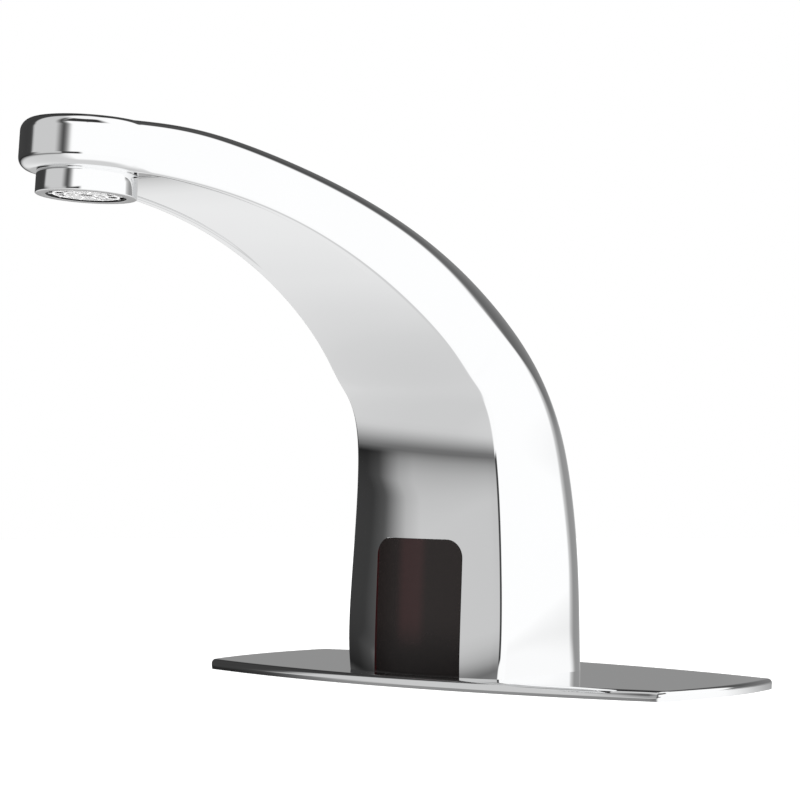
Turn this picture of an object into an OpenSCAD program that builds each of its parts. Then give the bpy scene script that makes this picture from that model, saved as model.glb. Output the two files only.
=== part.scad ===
// Touch-free basin tap: a cast arched body on a deck plate, with its infrared sensor,
// latching solenoid valve, check valve and aerator.
// Millimetres. The origin is the mouth of the supply inlet, in the plane of the deck.
// +Z is up, the outlet points to -Y, and X runs along the deck plate.

/* [Deck plate] */
// Length of the plate between its corners
plate_l = 160; // [140:1:190]
// Outward bow of each short end
plate_end_bow = 3.3; // [2:0.1:5]
// Depth of the plate at its corners
plate_end_d = 51; // [48:1:60]
// Outward bow of each long edge
plate_side_bow = 11.2; // [9:0.1:14]
// Radius of the corners seen from above
plate_corner_r = 4; // [2:0.5:8]
// Overall thickness
plate_t = 2.8; // [2.4:0.1:4]
// Thickness of the pressed sheet
plate_skin_t = 1.2; // [0.8:0.1:1.6]
// Radius of the turned upper edge
plate_edge_r = 2; // [1:0.1:2.2]
// Width of the rim that meets the deck
plate_rim_w = 2.4; // [2.2:0.1:4]
// Radius of the opening for the body's spigot
plate_hole_r = 15.8; // [15.6:0.1:16]

/* [Column] */
// Width of the column at its foot
column_w = 53.8; // [52:0.2:60]
// Distance from the inlet axis forward to the column's front edges
column_front = 25.4; // [25:0.2:30]
// Distance from the inlet axis back to the column's back face
column_back = 19.1; // [19:0.2:26]
// Forward bow of the front face between its edges
front_bow = 4.5; // [3.6:0.1:5.4]
// Radius of the back corners at the foot
column_back_r = 13.7; // [10:0.1:15]
// Thickness of the cast wall
body_wall = 2.5; // [2.2:0.1:2.8]

/* [Arm and head] */
// Horizontal distance from the inlet axis to the outlet
spout_reach = 153.5; // [140:0.5:175]
// Height of the outlet's rim above the deck
outlet_h = 126.5; // [120:0.5:145]
// Tilt of the outlet's axis, its foot leaning forward
outlet_tilt = 5.4; // [3:0.1:8]
// Width of the arm at the head
arm_w = 34; // [32:0.5:38]
// Thickness of the head along the outlet's axis
head_h = 12.5; // [12:0.1:15]
// Radius round the head's upper edge
head_top_r = 3.2; // [2:0.1:4]
// Radius round the head's lower edge
head_bottom_r = 4.3; // [3:0.1:4.6]
// Radius along the lower edges of the arm and column
lip_r = 1.6; // [1:0.1:2]
// Width of the lips beside the panel sunk into the arm's underside
lip_w = 2.6; // [2.4:0.1:4]
// Depth of that sunk panel
panel_d = 0.5; // [0.2:0.1:0.8]

/* [Sensor window] */
// Width of the window
window_w = 29.8; // [26:0.2:30.4]
// Height of the window's top edge above the deck
window_top = 39.8; // [38:0.2:42]
// Radius of the window's upper corners
window_corner_r = 5; // [3:0.5:8]
// Thickness of the window
window_t = 2; // [1.6:0.1:2.2]

/* [Outlet] */
// Radius of the outlet collar
collar_r = 12.35; // [12.2:0.05:12.6]
// Height of the collar below the head
collar_h = 5.5; // [5:0.1:7]
// Radius of the collar's bore
outlet_r = 9.75; // [9.2:0.05:10]
// Number of rings in the outlet grille
grille_ring_count = 4; // [3:1:5]
// Number of spokes in the outlet grille
grille_spoke_count = 10; // [6:1:12]

/* [Fixing] */
// Distance between the two stud holes
stud_pitch = 24; // [22.5:0.1:25.5]
// Core radius of the stud threads
stud_r = 2.5; // [2:0.05:2.6]
// Core radius of the supply thread
supply_r = 4.5; // [4.2:0.05:4.8]
// Depth of the supply thread
supply_l = 9; // [7:0.5:11]

/* [Valve] */
// Width of the square valve
valve_w = 20; // [19.4:0.1:20.8]
// Lift of the plunger
plunger_lift = 1.2; // [0.8:0.1:1.4]
// Lift of the diaphragm plate
diaphragm_lift = 1; // [0.6:0.1:1.4]
// Lift of the check poppet
check_lift = 1.5; // [0.8:0.1:1.8]
// Outer radius of the outlet tube
tube_r = 3; // [2.8:0.05:3.2]

/* [Hidden] */
$fn = 64;

// Clearances and the overrun of every cut
fit_gap = 0.05;
assembly_gap = 0.4;
overrun = 1;

// Stations of the body, from the foot of the column to the outlet's axis. Each row holds
// the inner line's forward and upward share, the outer line's forward and upward share,
// then the shares of the column's extra width, of its extra back radius and of its bow.
station_shares = [
    [0, 0, 0, 0, 0.99, 1, 1],
    [0, 0.096, 0.019, 0.24, 1.136, 0.95, 1],
    [-0.027, 0.538, 0.016, 0.424, 0.73, 0.87, 0.95],
    [0.061, 0.609, 0.11, 0.616, 0.761, 0.65, 0.6],
    [0.123, 0.692, 0.291, 0.782, 0.597, 0.43, 0.2],
    [0.32, 0.832, 0.463, 0.88, 0.288, 0.22, 0],
    [0.578, 0.94, 0.634, 0.944, 0.093, 0.13, 0],
    [0.839, 0.988, 0.854, 0.999, 0.03, 0.04, 0],
    [1, 1, 1, 1, 0, 0, 0]
];
body_ring_count = 57;
cavity_ring_count = 30;
cavity_end_share = 0.9;
// The sunk panel fades in and out between these shares of the way along the body
panel_start_share = 0.62;
panel_full_share = 0.7;
panel_fade_share = 0.93;
panel_end_share = 0.955;
// Width of the step between the lips and the sunk panel
panel_step = 0.4;
// The head's wider lower radius starts here
head_edge_share = 0.945;
// Smallest radius along the hollow's lower edges
edge_min_r = 0.6;
// The nose turns this many degrees further at each end, and is this much smaller than the arm
nose_overlap = 1;
nose_inset = 0.03;
face_steps = 6;
corner_steps = 5;
back_steps = 6;

// Seal, bracket and the screws that hold it
seal_t = 1.5;
seal_w = 2;
bracket_t = 4;
bracket_z = plate_t + seal_t;
bracket_top = bracket_z + bracket_t;
screw_r = 1.4;
screw_head_r = 2.6;
screw_head_h = 1.5;
boss_r = 3.4;
boss_l = 9;
boss_x = column_w / 2 - body_wall - 1.6 * boss_r;
boss_y = 1.2 * boss_r;

// Supply inlet, filter and check valve, stacked upwards from the deck
adapter_r = 7;
adapter_flange_r = 7.8;
adapter_flange_t = 2;
filter_t = 1;
filter_r = 0.9 * supply_r;
filter_hole_r = 0.6;
seat_r = 3;
seat_t = 2;
seat_z = supply_l + filter_t + seat_t;
chamber_r = 5;
poppet_r = 4;
poppet_t = 1.5;
poppet_stem_r = 1.2;
poppet_stem_l = 2.4;
check_wire_r = 0.25;
check_spring_r = 3.6;
check_turns = 3;
check_spring_l = check_lift + 2 * check_wire_r * (check_turns + 1);
valve_spigot_r = 4.7;
valve_spigot_l = 3;
valve_spigot_z = seat_z + fit_gap + poppet_t + check_spring_l;
adapter_top = valve_spigot_z + valve_spigot_l;
washer_t = 1;
valve_z = adapter_top + washer_t;

// Valve body, with its inlet galleries round the central seat
gallery_r = 1.2;
gallery_z = valve_z + 2.1 * gallery_r;
gallery_x = 7;
outlet_port_r = 1.8;
outlet_port_z = gallery_z + gallery_r + 1.6 * outlet_port_r;
ring_inner_r = 4.6;
ring_outer_r = 8.4;
ring_z = outlet_port_z + 1.4 * outlet_port_r;
ring_h = 4.4;
main_seat_r = 3;
main_seat_z = ring_z + 0.8 * ring_h;
valve_top = ring_z + ring_h;
nipple_r = 2;
nipple_l = 8;
nipple_bore_r = 1.4;
nipple_x = valve_w / 2 + tube_r + 2 * assembly_gap;
lug_z = outlet_port_z - 1.5 * outlet_port_r;
lug_h = 3.2 * outlet_port_r;
tube_start_z = lug_z + lug_h + fit_gap;

// Diaphragm, cover and screws
membrane_t = 1;
membrane_r = 9.2;
plate_lift_gap = 0.3;
diaphragm_r = 7.2;
diaphragm_t = 2.4;
cover_wall = 2.6;
cover_z = valve_top + membrane_t;
cover_room_h = main_seat_z + diaphragm_t + diaphragm_lift + plate_lift_gap - cover_z;
cover_t = cover_room_h + cover_wall;
cover_top = cover_z + cover_t;
pilot_r = 0.8;
valve_screw_r = 1.2;
valve_screw_head_r = 1.7;
valve_screw_head_h = 1.4;
valve_screw_l = 8;
valve_screw_at = valve_w / 2 - valve_screw_head_r - 2 * fit_gap;

// Solenoid, stacked upwards from the cover
guide_r = 4.5;
guide_wall = 0.45;
guide_flange_r = 6;
guide_flange_t = 1;
frame_t = 1.2;
frame_half_d = 5.8;
bobbin_h = 13;
bobbin_wall = 0.8;
bobbin_flange_r = 8.2;
bobbin_z = cover_top + guide_flange_t + frame_t + fit_gap;
frame_top = bobbin_z + bobbin_h + fit_gap + frame_t;
winding_r = 7.8;
magnet_r = 6.4;
magnet_h = 2.4;
guide_top = frame_top + magnet_h + fit_gap;
core_h = 4;
plunger_r = guide_r - guide_wall - 1.6 * fit_gap;
plunger_z = cover_top + guide_flange_t;
plunger_top = guide_top - core_h - plunger_lift - plate_lift_gap;
tip_r = 2;
tip_sunk = 0.6;
spring_pocket_r = 2.7;
spring_pocket_d = 5;
plunger_wire_r = 0.25;
plunger_spring_r = 2;
plunger_turns = 5;

// Sensor block behind the window, its board and its parts
sensor_front = -column_front + 0.8 * body_wall;
sensor_d = 7;
ear_r = 2.9;
ear_room = 1.5;
sensor_w = column_w - 2 * (body_wall + 2 * ear_r + ear_room);
sensor_z = bracket_top + assembly_gap;
sensor_top = window_top + 0.9 * body_wall;
sensor_back = sensor_front + sensor_d;
well_r = 3.1;
well_x = 6.5;
well_z = 24;
led_r = 2.5;
led_l = 3.6;
status_r = 1.5;
status_z = 33;
status_l = 4;
board_inset = 1;
board_w = sensor_w - 2 * board_inset;
board_t = 1.6;
board_back = sensor_back + fit_gap + board_t;
part_h = 2.2;
ear_t = 2.5;
ear_x = sensor_w / 2 + ear_r + 2 * fit_gap;
ear_front = sensor_front + 0.55 * sensor_d;
gasket_w = 1.6;

// Power socket in the bracket
socket_r = 3;
socket_flange_r = 3.8;
socket_y = adapter_flange_r + socket_flange_r + 4 * fit_gap;
socket_h = 11;
socket_recess = 0.3;
pin_r = 0.5;
pin_l = 4;

// Aerator, measured along the outlet's axis from its rim
shank_r = 11;
shank_h = 4.3;
ledge_t = 1.5;
outlet_seal_t = 1.2;
outlet_chamber_r = 8.6;
outlet_chamber_h = 4.4;
outlet_chamber_z = collar_h + shank_h + outlet_seal_t;
grille_z = 0.8;
grille_h = 1.4;
grille_bar = 0.75;
mesh_z = grille_z + grille_h + 2 * fit_gap;
mesh_t = 0.8;
regulator_z = mesh_z + mesh_t + 2 * fit_gap;
regulator_top = collar_h + shank_h - ledge_t - 2 * fit_gap;
regulator_hole_r = 0.7;
regulator_hole_count = 12;
tail_r = 3.2;
tail_z = outlet_chamber_z + 0.35 * outlet_chamber_h;
tail_start = shank_r + 0.6;
tail_barb_l = 8;

// Ends of the body's two lines, on the outlet's axis
inner_end = on_axis(collar_h);
outer_end = on_axis(collar_h + head_h);

// A point on the outlet's axis, as [y, z], at a height above the outlet's rim
function on_axis(h) =
    [-spout_reach + h * sin(outlet_tilt), outlet_h + h * cos(outlet_tilt)];

// Cubic B-spline through a list of rows, passing through its first and last row
function spline_at(rows, share) =
    let (
        last = len(rows) - 1,
        i = min(floor(share * last), last - 1),
        f = share * last - i,
        before = i == 0 ? 2 * rows[0] - rows[1] : rows[i - 1],
        after = i == last - 1 ? 2 * rows[last] - rows[last - 1] : rows[i + 2]
    )
    (pow(1 - f, 3) * before
        + (3 * pow(f, 3) - 6 * pow(f, 2) + 4) * rows[i]
        + (-3 * pow(f, 3) + 3 * pow(f, 2) + 3 * f + 1) * rows[i + 1]
        + pow(f, 3) * after) / 6;

// Smooth step from 0 to 1 between two shares
function ease(share, from, to) =
    let (f = min(max((share - from) / (to - from), 0), 1))
    f * f * (3 - 2 * f);

// Sizes of the body at a station: [inner y, inner z, outer y, outer z, half width,
// back radius, bow]
function station(share) =
    let (s = spline_at(station_shares, share))
    [
        -column_front + s[0] * (inner_end[0] + column_front),
        plate_t + s[1] * (inner_end[1] - plate_t),
        column_back + s[2] * (outer_end[0] - column_back),
        plate_t + s[3] * (outer_end[1] - plate_t),
        arm_w / 2 + s[4] * (column_w - arm_w) / 2,
        head_top_r + s[5] * (column_back_r - head_top_r),
        s[6] * front_bow
    ];

// Right half of a section, from the middle of the inner face round to the middle of the
// outer face, as [x, distance from the inner line]. Its inner face is bowed and may be sunk
// between two lips.
function half_outline(half_w, depth, bow, edge_r, back_r, sunk, lip, inset) =
    let (
        r = max(edge_r - inset, edge_min_r),
        w = half_w - inset,
        slope = atan(2 * bow * (w - r) / pow(half_w, 2)),
        panel_w = w - max(lip, r + panel_step) - panel_step,
        edge_x = w - r + r * sin(slope),
        edge_y = inset - bow * (1 - pow(edge_x / half_w, 2)) + r * cos(slope),
        rb = back_r - inset
    )
    concat(
        [for (k = [0:face_steps])
            let (x = panel_w * k / face_steps)
            [x, inset + sunk - bow * (1 - pow(x / half_w, 2))]],
        [[panel_w + panel_step, inset - bow * (1 - pow((panel_w + panel_step) / half_w, 2))]],
        [for (k = [0:corner_steps])
            let (a = (slope - 90) * (1 - k / corner_steps))
            [w - r + r * cos(a), edge_y + r * sin(a)]],
        [for (k = [0:back_steps])
            let (a = 90 * k / back_steps)
            [w - rb + rb * cos(a), depth - inset - rb + rb * sin(a)]],
        [[(w - rb) / 2, depth - inset], [0, depth - inset]]
    );

// Closed ring of points in space for the section at a station, from its left side round its
// inner face to its right side and back over its outer face
function section_ring(share, inset) =
    let (
        s = station(share),
        foot = [s[0], s[1]],
        run = [s[2], s[3]] - foot,
        depth = norm(run),
        sunk = inset > 0 ? 0 : panel_d
            * ease(share, panel_start_share, panel_full_share)
            * (1 - ease(share, panel_fade_share, panel_end_share)),
        edge_r = lip_r + (head_bottom_r - lip_r) * ease(share, head_edge_share, 1),
        half = half_outline(s[4], depth, s[6], edge_r, s[5], sunk, lip_w, inset),
        last = len(half) - 1,
        side = face_steps + corner_steps + 2,
        flat = concat(
            [for (k = [side:-1:1]) [-half[k][0], half[k][1]]],
            half,
            [for (k = [last - 1:-1:side + 1]) [-half[k][0], half[k][1]]]
        )
    )
    [for (p = flat)
        [p[0], foot[0] + run[0] * p[1] / depth, foot[1] + run[1] * p[1] / depth]];

// Corner circle of the plate's outline: the point that lies plate_corner_r inside both arcs
side_arc_r = (pow(plate_l / 2, 2) + pow(plate_side_bow, 2)) / (2 * plate_side_bow);
end_arc_r = (pow(plate_end_d / 2, 2) + pow(plate_end_bow, 2)) / (2 * plate_end_bow);
side_arc_at = [0, plate_end_d / 2 + plate_side_bow - side_arc_r];
end_arc_at = [plate_l / 2 + plate_end_bow - end_arc_r, 0];
corner_at = circles_meet(
    side_arc_at, side_arc_r - plate_corner_r, end_arc_at, end_arc_r - plate_corner_r);
side_arc_steps = 12;
end_arc_steps = 6;
edge_steps = 5;

// Upper right meeting point of two circles
function circles_meet(a, ra, b, rb) =
    let (
        d = norm(b - a),
        along = (d * d + ra * ra - rb * rb) / (2 * d),
        up = sqrt(ra * ra - along * along),
        dir = (b - a) / d
    )
    a + along * dir + up * [dir[1], -dir[0]];

// Direction of a vector in degrees
function heading(v) = atan2(v[1], v[0]);

// Points of an arc, without its last one
function arc_points(at, r, from, to, steps) =
    [for (k = [0:steps - 1])
        let (a = from + (to - from) * k / steps)
        at + r * [cos(a), sin(a)]];

// Outline of the plate, drawn in by an inset
function plate_outline(inset) =
    let (
        side_turn = heading(corner_at - side_arc_at),
        end_turn = heading(corner_at - end_arc_at),
        quarter = concat(
            arc_points(end_arc_at, end_arc_r - inset, 0, end_turn, end_arc_steps),
            arc_points(corner_at, plate_corner_r - inset, end_turn, side_turn, corner_steps),
            arc_points(side_arc_at, side_arc_r - inset, side_turn, 90, side_arc_steps)
        ),
        top = [0, plate_end_d / 2 + plate_side_bow - inset],
        right = [for (p = quarter) p],
        left = [for (k = [len(quarter) - 1:-1:0]) [-quarter[k][0], quarter[k][1]]],
        upper = concat(right, [top], left)
    )
    concat(upper, [for (k = [len(upper) - 2:-1:1]) [upper[k][0], -upper[k][1]]]);

// Solid between rings of equal even counts. Its first and last ring are closed in strips, each
// between points that are as far from the ring's first point as from its last one.
module skin(rings) {
    n = len(rings[0]);
    m = len(rings);
    top = (m - 1) * n;
    polyhedron(
        points = [for (ring = rings) each ring],
        faces = concat(
            [for (j = [0:n / 2 - 2]) [j, j + 1, n - 2 - j, n - 1 - j]],
            [for (i = [0:m - 2], j = [0:n - 1]) [i * n + j, (i + 1) * n + j, i * n + (j + 1) % n]],
            [for (i = [0:m - 2], j = [0:n - 1])
                [i * n + (j + 1) % n, (i + 1) * n + j, (i + 1) * n + (j + 1) % n]],
            [for (j = [0:n / 2 - 2])
                [top + n - 1 - j, top + n - 2 - j, top + j + 1, top + j]]
        )
    );
}

// Body volume between two shares of its length, drawn in by an inset
module body_volume(from, to, rings, inset) {
    skin([for (i = [0:rings - 1]) section_ring(from + (to - from) * i / (rings - 1), inset)]);
}

// Children placed on the outlet's axis, with its rim at zero height
module at_outlet() {
    translate([0, -spout_reach, outlet_h])
        rotate([-outlet_tilt, 0, 0])
            children();
}

// Children turned so that their Z axis points back along +Y
module facing_back() {
    rotate([-90, 0, 0])
        children();
}

// Children repeated at both signs of X
module both_sides(x) {
    for (side = [-1, 1])
        translate([side * x, 0, 0])
            children();
}

// Flat ring
module washer(outer, inner, h) {
    difference() {
        cylinder(r = outer, h = h);
        translate([0, 0, -overrun])
            cylinder(r = inner, h = h + 2 * overrun);
    }
}

// Rectangle with rounded upper corners, standing on the X axis
module arched_rectangle(w, h, r) {
    polygon(concat(
        [[-w / 2, 0], [w / 2, 0]],
        arc_points([w / 2 - r, h - r], r, 0, 90, back_steps),
        [[w / 2 - r, h]],
        arc_points([r - w / 2, h - r], r, 90, 180, back_steps),
        [[-w / 2, h - r]]
    ));
}

// Window outline as a prism along Y between two depths, widened by a gap
module window_prism(from, to, widen) {
    translate([0, to, plate_t - overrun])
        rotate([90, 0, 0])
            linear_extrude(to - from)
                arched_rectangle(
                    window_w + 2 * widen, window_top - plate_t + overrun + widen,
                    window_corner_r + widen);
}

// Plain coil spring standing on the XY plane, its tube swept along a helix
module coil_spring(coil_r, wire_r, length, turns) {
    steps = 12;
    sides = 6;
    rise = length - 2 * wire_r;
    skin([for (i = [0:turns * steps])
        let (
            a = 360 * i / steps,
            z = wire_r + rise * i / (turns * steps),
            out = [cos(a), sin(a), 0]
        )
        [for (k = [0:sides - 1])
            let (b = -360 * k / sides)
            [0, 0, z] + (coil_r + wire_r * cos(b)) * out + [0, 0, wire_r * sin(b)]]]);
}

// Cap screw pointing down, its head standing on the XY plane
module cap_screw(shank, length, head, head_h) {
    translate([0, 0, -length])
        cylinder(r = shank, h = length + head_h / 2);
    difference() {
        cylinder(r = head, h = head_h);
        translate([0, 0, head_h / 2])
            cylinder(r = shank, h = head_h, $fn = 6);
    }
}

// Cast body: column, arm and round head, with its cavity, window opening and outlet socket
module spout_body() {
    color("gainsboro") {
        difference() {
            union() {
                body_volume(0, 1, body_ring_count, 0);
                head_nose();
            }
            body_cavity();
            window_prism(-column_front - 2 * front_bow, sensor_front, fit_gap);
            at_outlet() {
                translate([0, 0, collar_h - overrun])
                    cylinder(r = shank_r + fit_gap, h = outlet_chamber_z - collar_h + overrun);
                translate([0, 0, outlet_chamber_z - overrun])
                    cylinder(r = outlet_chamber_r, h = outlet_chamber_h + overrun);
                translate([0, 0, tail_z])
                    facing_back() {
                        cylinder(r = nipple_bore_r, h = tail_start + overrun);
                        translate([0, 0, tail_start])
                            cylinder(r = tail_r + fit_gap, h = tail_bulkhead() - tail_start + 4 * overrun);
                    }
            }
        }
        body_bosses();
    }
}

// Distance from the outlet's axis back to the end of the body's cavity
function tail_bulkhead() = spout_reach + station(cavity_end_share)[0];

// Half round nose of the head, on the outlet's axis, its ends sunk into the arm
module head_nose() {
    at_outlet()
        rotate([0, 0, 180 - nose_overlap])
            rotate_extrude(angle = 180 + 2 * nose_overlap)
                polygon([for (p = half_outline(
                    arm_w / 2, head_h, 0, head_bottom_r, head_top_r, 0, lip_w, nose_inset))
                    [p[0], p[1] + collar_h]]);
}

// Hollow of the column and arm, open at the foot
module body_cavity() {
    skin(concat(
        [[for (p = section_ring(0, body_wall)) p - [0, 0, overrun]]],
        [for (i = [0:cavity_ring_count - 1])
            section_ring(cavity_end_share * i / (cavity_ring_count - 1), body_wall)]
    ));
}

// Bosses inside the column for the bracket's screws and the sensor's screws
module body_bosses() {
    for (side = [-1, 1])
        difference() {
            union() {
                translate([side * boss_x, boss_y, bracket_top])
                    cylinder(r = boss_r, h = boss_l);
                translate([side > 0 ? boss_x : -column_w / 2 + body_wall / 2,
                    boss_y - boss_r / 2, bracket_top])
                    cube([column_w / 2 - body_wall / 2 - boss_x, boss_r, boss_l]);
            }
            translate([side * boss_x, boss_y, bracket_top - overrun])
                cylinder(r = screw_r + fit_gap, h = boss_l);
        }
    both_sides(ear_x)
        translate([0, -column_front, well_z])
            facing_back()
                difference() {
                    cylinder(r = ear_r - fit_gap, h = ear_front + column_front - fit_gap);
                    translate([0, 0, body_wall])
                        cylinder(r = screw_r + fit_gap, h = ear_front + column_front);
                }
}

// Pressed cover plate: bowed outline, turned edge, hollow underside and spigot opening
module deck_plate() {
    color("silver")
        difference() {
            skin(concat(
                [[for (p = plate_outline(0)) [p[0], p[1], 0]]],
                [for (k = [0:edge_steps])
                    let (a = 90 * k / edge_steps)
                    [for (p = plate_outline(plate_edge_r * (1 - cos(a))))
                        [p[0], p[1], plate_t - plate_edge_r * (1 - sin(a))]]]
            ));
            translate([0, 0, -overrun])
                linear_extrude(plate_t - plate_skin_t + overrun)
                    polygon(plate_outline(plate_rim_w));
            translate([0, 0, -overrun])
                cylinder(r = plate_hole_r, h = plate_t + 2 * overrun);
        }
}

// Foam pad that fills the plate's hollow
module deck_gasket() {
    color("dimgray")
        translate([0, 0, assembly_gap])
            linear_extrude(plate_t - plate_skin_t - assembly_gap)
                difference() {
                    polygon(plate_outline(plate_rim_w + assembly_gap));
                    circle(r = plate_hole_r + seal_w);
                }
}

// Outline of the column's hollow at its foot, drawn in by a gap, as a flat polygon
function foot_outline(gap) =
    [for (p = section_ring(0, body_wall + gap)) [p[0], p[1]]];

// Rubber pad between the bracket and the plate, round the spigot
module base_seal() {
    color("black")
        translate([0, 0, plate_t])
            linear_extrude(seal_t)
                difference() {
                    polygon(foot_outline(assembly_gap));
                    circle(r = plate_hole_r);
                }
}

// Metal block that the studs pull on, with a spigot that centres the plate
module base_bracket() {
    color("darkkhaki")
        difference() {
            union() {
                cylinder(r = plate_hole_r - assembly_gap / 2, h = bracket_z + fit_gap);
                translate([0, 0, bracket_z])
                    linear_extrude(bracket_t)
                        polygon(foot_outline(2 * assembly_gap));
            }
            translate([0, 0, -overrun]) {
                cylinder(r = adapter_r + fit_gap, h = bracket_top + 2 * overrun);
                both_sides(stud_pitch / 2)
                    cylinder(r = stud_r, h = bracket_top + 2 * overrun);
                translate([0, socket_y, 0])
                    cylinder(r = socket_r + fit_gap, h = bracket_top + 2 * overrun);
            }
            both_sides(boss_x)
                translate([0, boss_y, bracket_z - overrun]) {
                    cylinder(r = screw_r + fit_gap, h = bracket_t + 2 * overrun);
                    cylinder(r = screw_head_r + fit_gap, h = screw_head_h + overrun);
                }
        }
}

// Two screws that hold the bracket to the body's bosses, heads down
module bracket_screws() {
    color("lightsteelblue")
        both_sides(boss_x)
            translate([0, boss_y, bracket_z + screw_head_h])
                rotate([180, 0, 0])
                    cap_screw(screw_r, boss_l, screw_head_r, screw_head_h);
}

// Smoked window: the stretch of the body's own skin inside the window's outline
module sensor_window() {
    color("maroon")
        intersection() {
            window_skin(0, window_t);
            window_prism(-column_front - 2 * front_bow, sensor_front, -fit_gap);
        }
}

// Bowed sheet that follows the body's front face between two depths
module window_skin(from, to) {
    rows = 9;
    skin([for (i = [0:rows - 1])
        let (
            s = front_at(plate_t + (window_top - plate_t + overrun) * i / (rows - 1)),
            z = plate_t + (window_top - plate_t + overrun) * i / (rows - 1)
        )
        concat(
            [for (k = [-face_steps:face_steps])
                [s[1] * k / face_steps, s[0] - s[2] * (1 - pow(k / face_steps, 2)) + from, z]],
            [for (k = [face_steps:-1:-face_steps])
                [s[1] * k / face_steps, s[0] - s[2] * (1 - pow(k / face_steps, 2)) + to, z]]
        )]);
}

// Front line of the column at a height: [y of its edges, half width, bow]
function front_at(z) =
    let (
        share = share_at(z, 0, 0.5, 24),
        s = station(share)
    )
    [s[0], s[4], s[6]];

// Share along the body at which its inner line reaches a height, found by halving
function share_at(z, low, high, tries) =
    let (mid = (low + high) / 2)
    tries == 0 ? mid
        : station(mid)[1] < z ? share_at(z, mid, high, tries - 1) : share_at(z, low, mid, tries - 1);

// Rubber frame between the window and the sensor block
module window_gasket() {
    color("black")
        intersection() {
            window_skin(window_t + fit_gap, 2 * (window_t + front_bow));
            difference() {
                window_frame_prism(assembly_gap, 0);
                window_frame_prism(assembly_gap + gasket_w, overrun);
            }
        }
}

// Window outline above the bracket, drawn in by an inset, up to the sensor block
module window_frame_prism(inset, past) {
    bottom = sensor_z + inset;
    translate([0, sensor_front - fit_gap + past, bottom])
        rotate([90, 0, 0])
            linear_extrude(2 * front_bow + past)
                arched_rectangle(
                    window_w - 2 * inset, window_top - bottom - inset,
                    window_corner_r - inset);
}

// Black block with an optical well for each eye, and an ear on each side
module sensor_housing() {
    color("darkslategray")
        difference() {
            union() {
                translate([-sensor_w / 2, sensor_front, sensor_z])
                    cube([sensor_w, sensor_d, sensor_top - sensor_z]);
                both_sides(ear_x)
                    translate([0, ear_front, well_z])
                        facing_back()
                            cylinder(r = ear_r, h = ear_t);
                translate([-ear_x, ear_front, well_z - ear_r])
                    cube([2 * ear_x, ear_t, 2 * ear_r]);
            }
            translate([0, sensor_front - overrun, 0])
                facing_back() {
                    both_sides(well_x)
                        translate([0, -well_z, 0])
                            cylinder(r = well_r, h = sensor_d + 2 * overrun);
                    translate([0, -status_z, 0])
                        cylinder(r = status_r + assembly_gap, h = sensor_d + 2 * overrun);
                    both_sides(ear_x)
                        translate([0, -well_z, 0])
                            cylinder(r = screw_r + fit_gap, h = sensor_d + 2 * overrun);
                }
        }
}

// Two screws through the block's ears into the body
module sensor_screws() {
    color("lightsteelblue")
        both_sides(ear_x)
            translate([0, ear_front + ear_t, well_z])
                facing_back()
                    cap_screw(screw_r, ear_t + body_wall, screw_head_r - assembly_gap, screw_head_h);
}

// Circuit board on the back of the block
module sensor_board() {
    color("seagreen")
        translate([-board_w / 2, sensor_back + fit_gap, sensor_z])
            cube([board_w, board_t, sensor_top - sensor_z - assembly_gap]);
}

// Controller, two capacitors and the lead's connector on the back of the board
module board_parts() {
    chip_w = 8;
    capacitor_r = 1.8;
    connector = [7, part_h, 4];
    color("black")
        translate([0, board_back, 0]) {
            translate([-chip_w, 0, well_z - chip_w / 2])
                cube([chip_w, part_h / 2, chip_w]);
            for (row = [0, 1])
                translate([chip_w, 0, well_z + 3 * capacitor_r * row])
                    facing_back()
                        cylinder(r = capacitor_r, h = part_h);
            translate([-connector[0] / 2, 0, sensor_z + connector[2] / 2])
                difference() {
                    cube(connector);
                    translate([pin_r, part_h / 3, pin_r])
                        cube([connector[0] - 2 * pin_r, part_h, connector[2] - 2 * pin_r]);
                }
        }
}

// Round eye with a domed front, standing forward from the board
module eye(r, length) {
    rotate([90, 0, 0])
        rotate_extrude()
            polygon(concat(
                [[0, 0], [1.15 * r, 0], [1.15 * r, r / 3], [r, r / 3]],
                [for (k = [0:corner_steps])
                    let (a = 90 * k / corner_steps)
                    [r * cos(a), length - r + r * sin(a)]]
            ));
}

// Infrared emitter
module ir_emitter() {
    color("lavender")
        translate([-well_x, sensor_back, well_z])
            eye(led_r, led_l + led_r / 2);
}

// Infrared receiver
module ir_receiver() {
    color("indigo")
        translate([well_x, sensor_back, well_z])
            eye(led_r, led_l + led_r / 2);
}

// Small red lamp between the eyes
module status_led() {
    color("red")
        translate([0, sensor_back, status_z])
            eye(status_r, status_l);
}

// Two-pin socket for the power lead, open downwards
module power_socket() {
    color("black")
        translate([0, socket_y, socket_recess]) {
            difference() {
                union() {
                    cylinder(r = socket_r, h = socket_h);
                    translate([0, 0, bracket_top - socket_recess + fit_gap])
                        cylinder(r = socket_flange_r, h = frame_t);
                }
                translate([0, 0, -overrun])
                    cylinder(r = socket_r - 2 * pin_r, h = pin_l + overrun);
            }
            both_sides(2 * pin_r)
                cylinder(r = pin_r, h = pin_l + overrun);
        }
}

// Brass supply connector: hose thread below, check-valve chamber above
module inlet_adapter() {
    color("goldenrod")
        rotate_extrude()
            polygon([
                [supply_r, 0], [adapter_r, 0], [adapter_r, bracket_top],
                [adapter_flange_r, bracket_top], [adapter_flange_r, bracket_top + adapter_flange_t],
                [adapter_r, bracket_top + adapter_flange_t], [adapter_r, adapter_top],
                [chamber_r, adapter_top], [chamber_r, seat_z], [seat_r, seat_z],
                [seat_r, supply_l + filter_t], [filter_r, supply_l + filter_t],
                [filter_r, supply_l], [supply_r, supply_l]
            ]);
}

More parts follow.
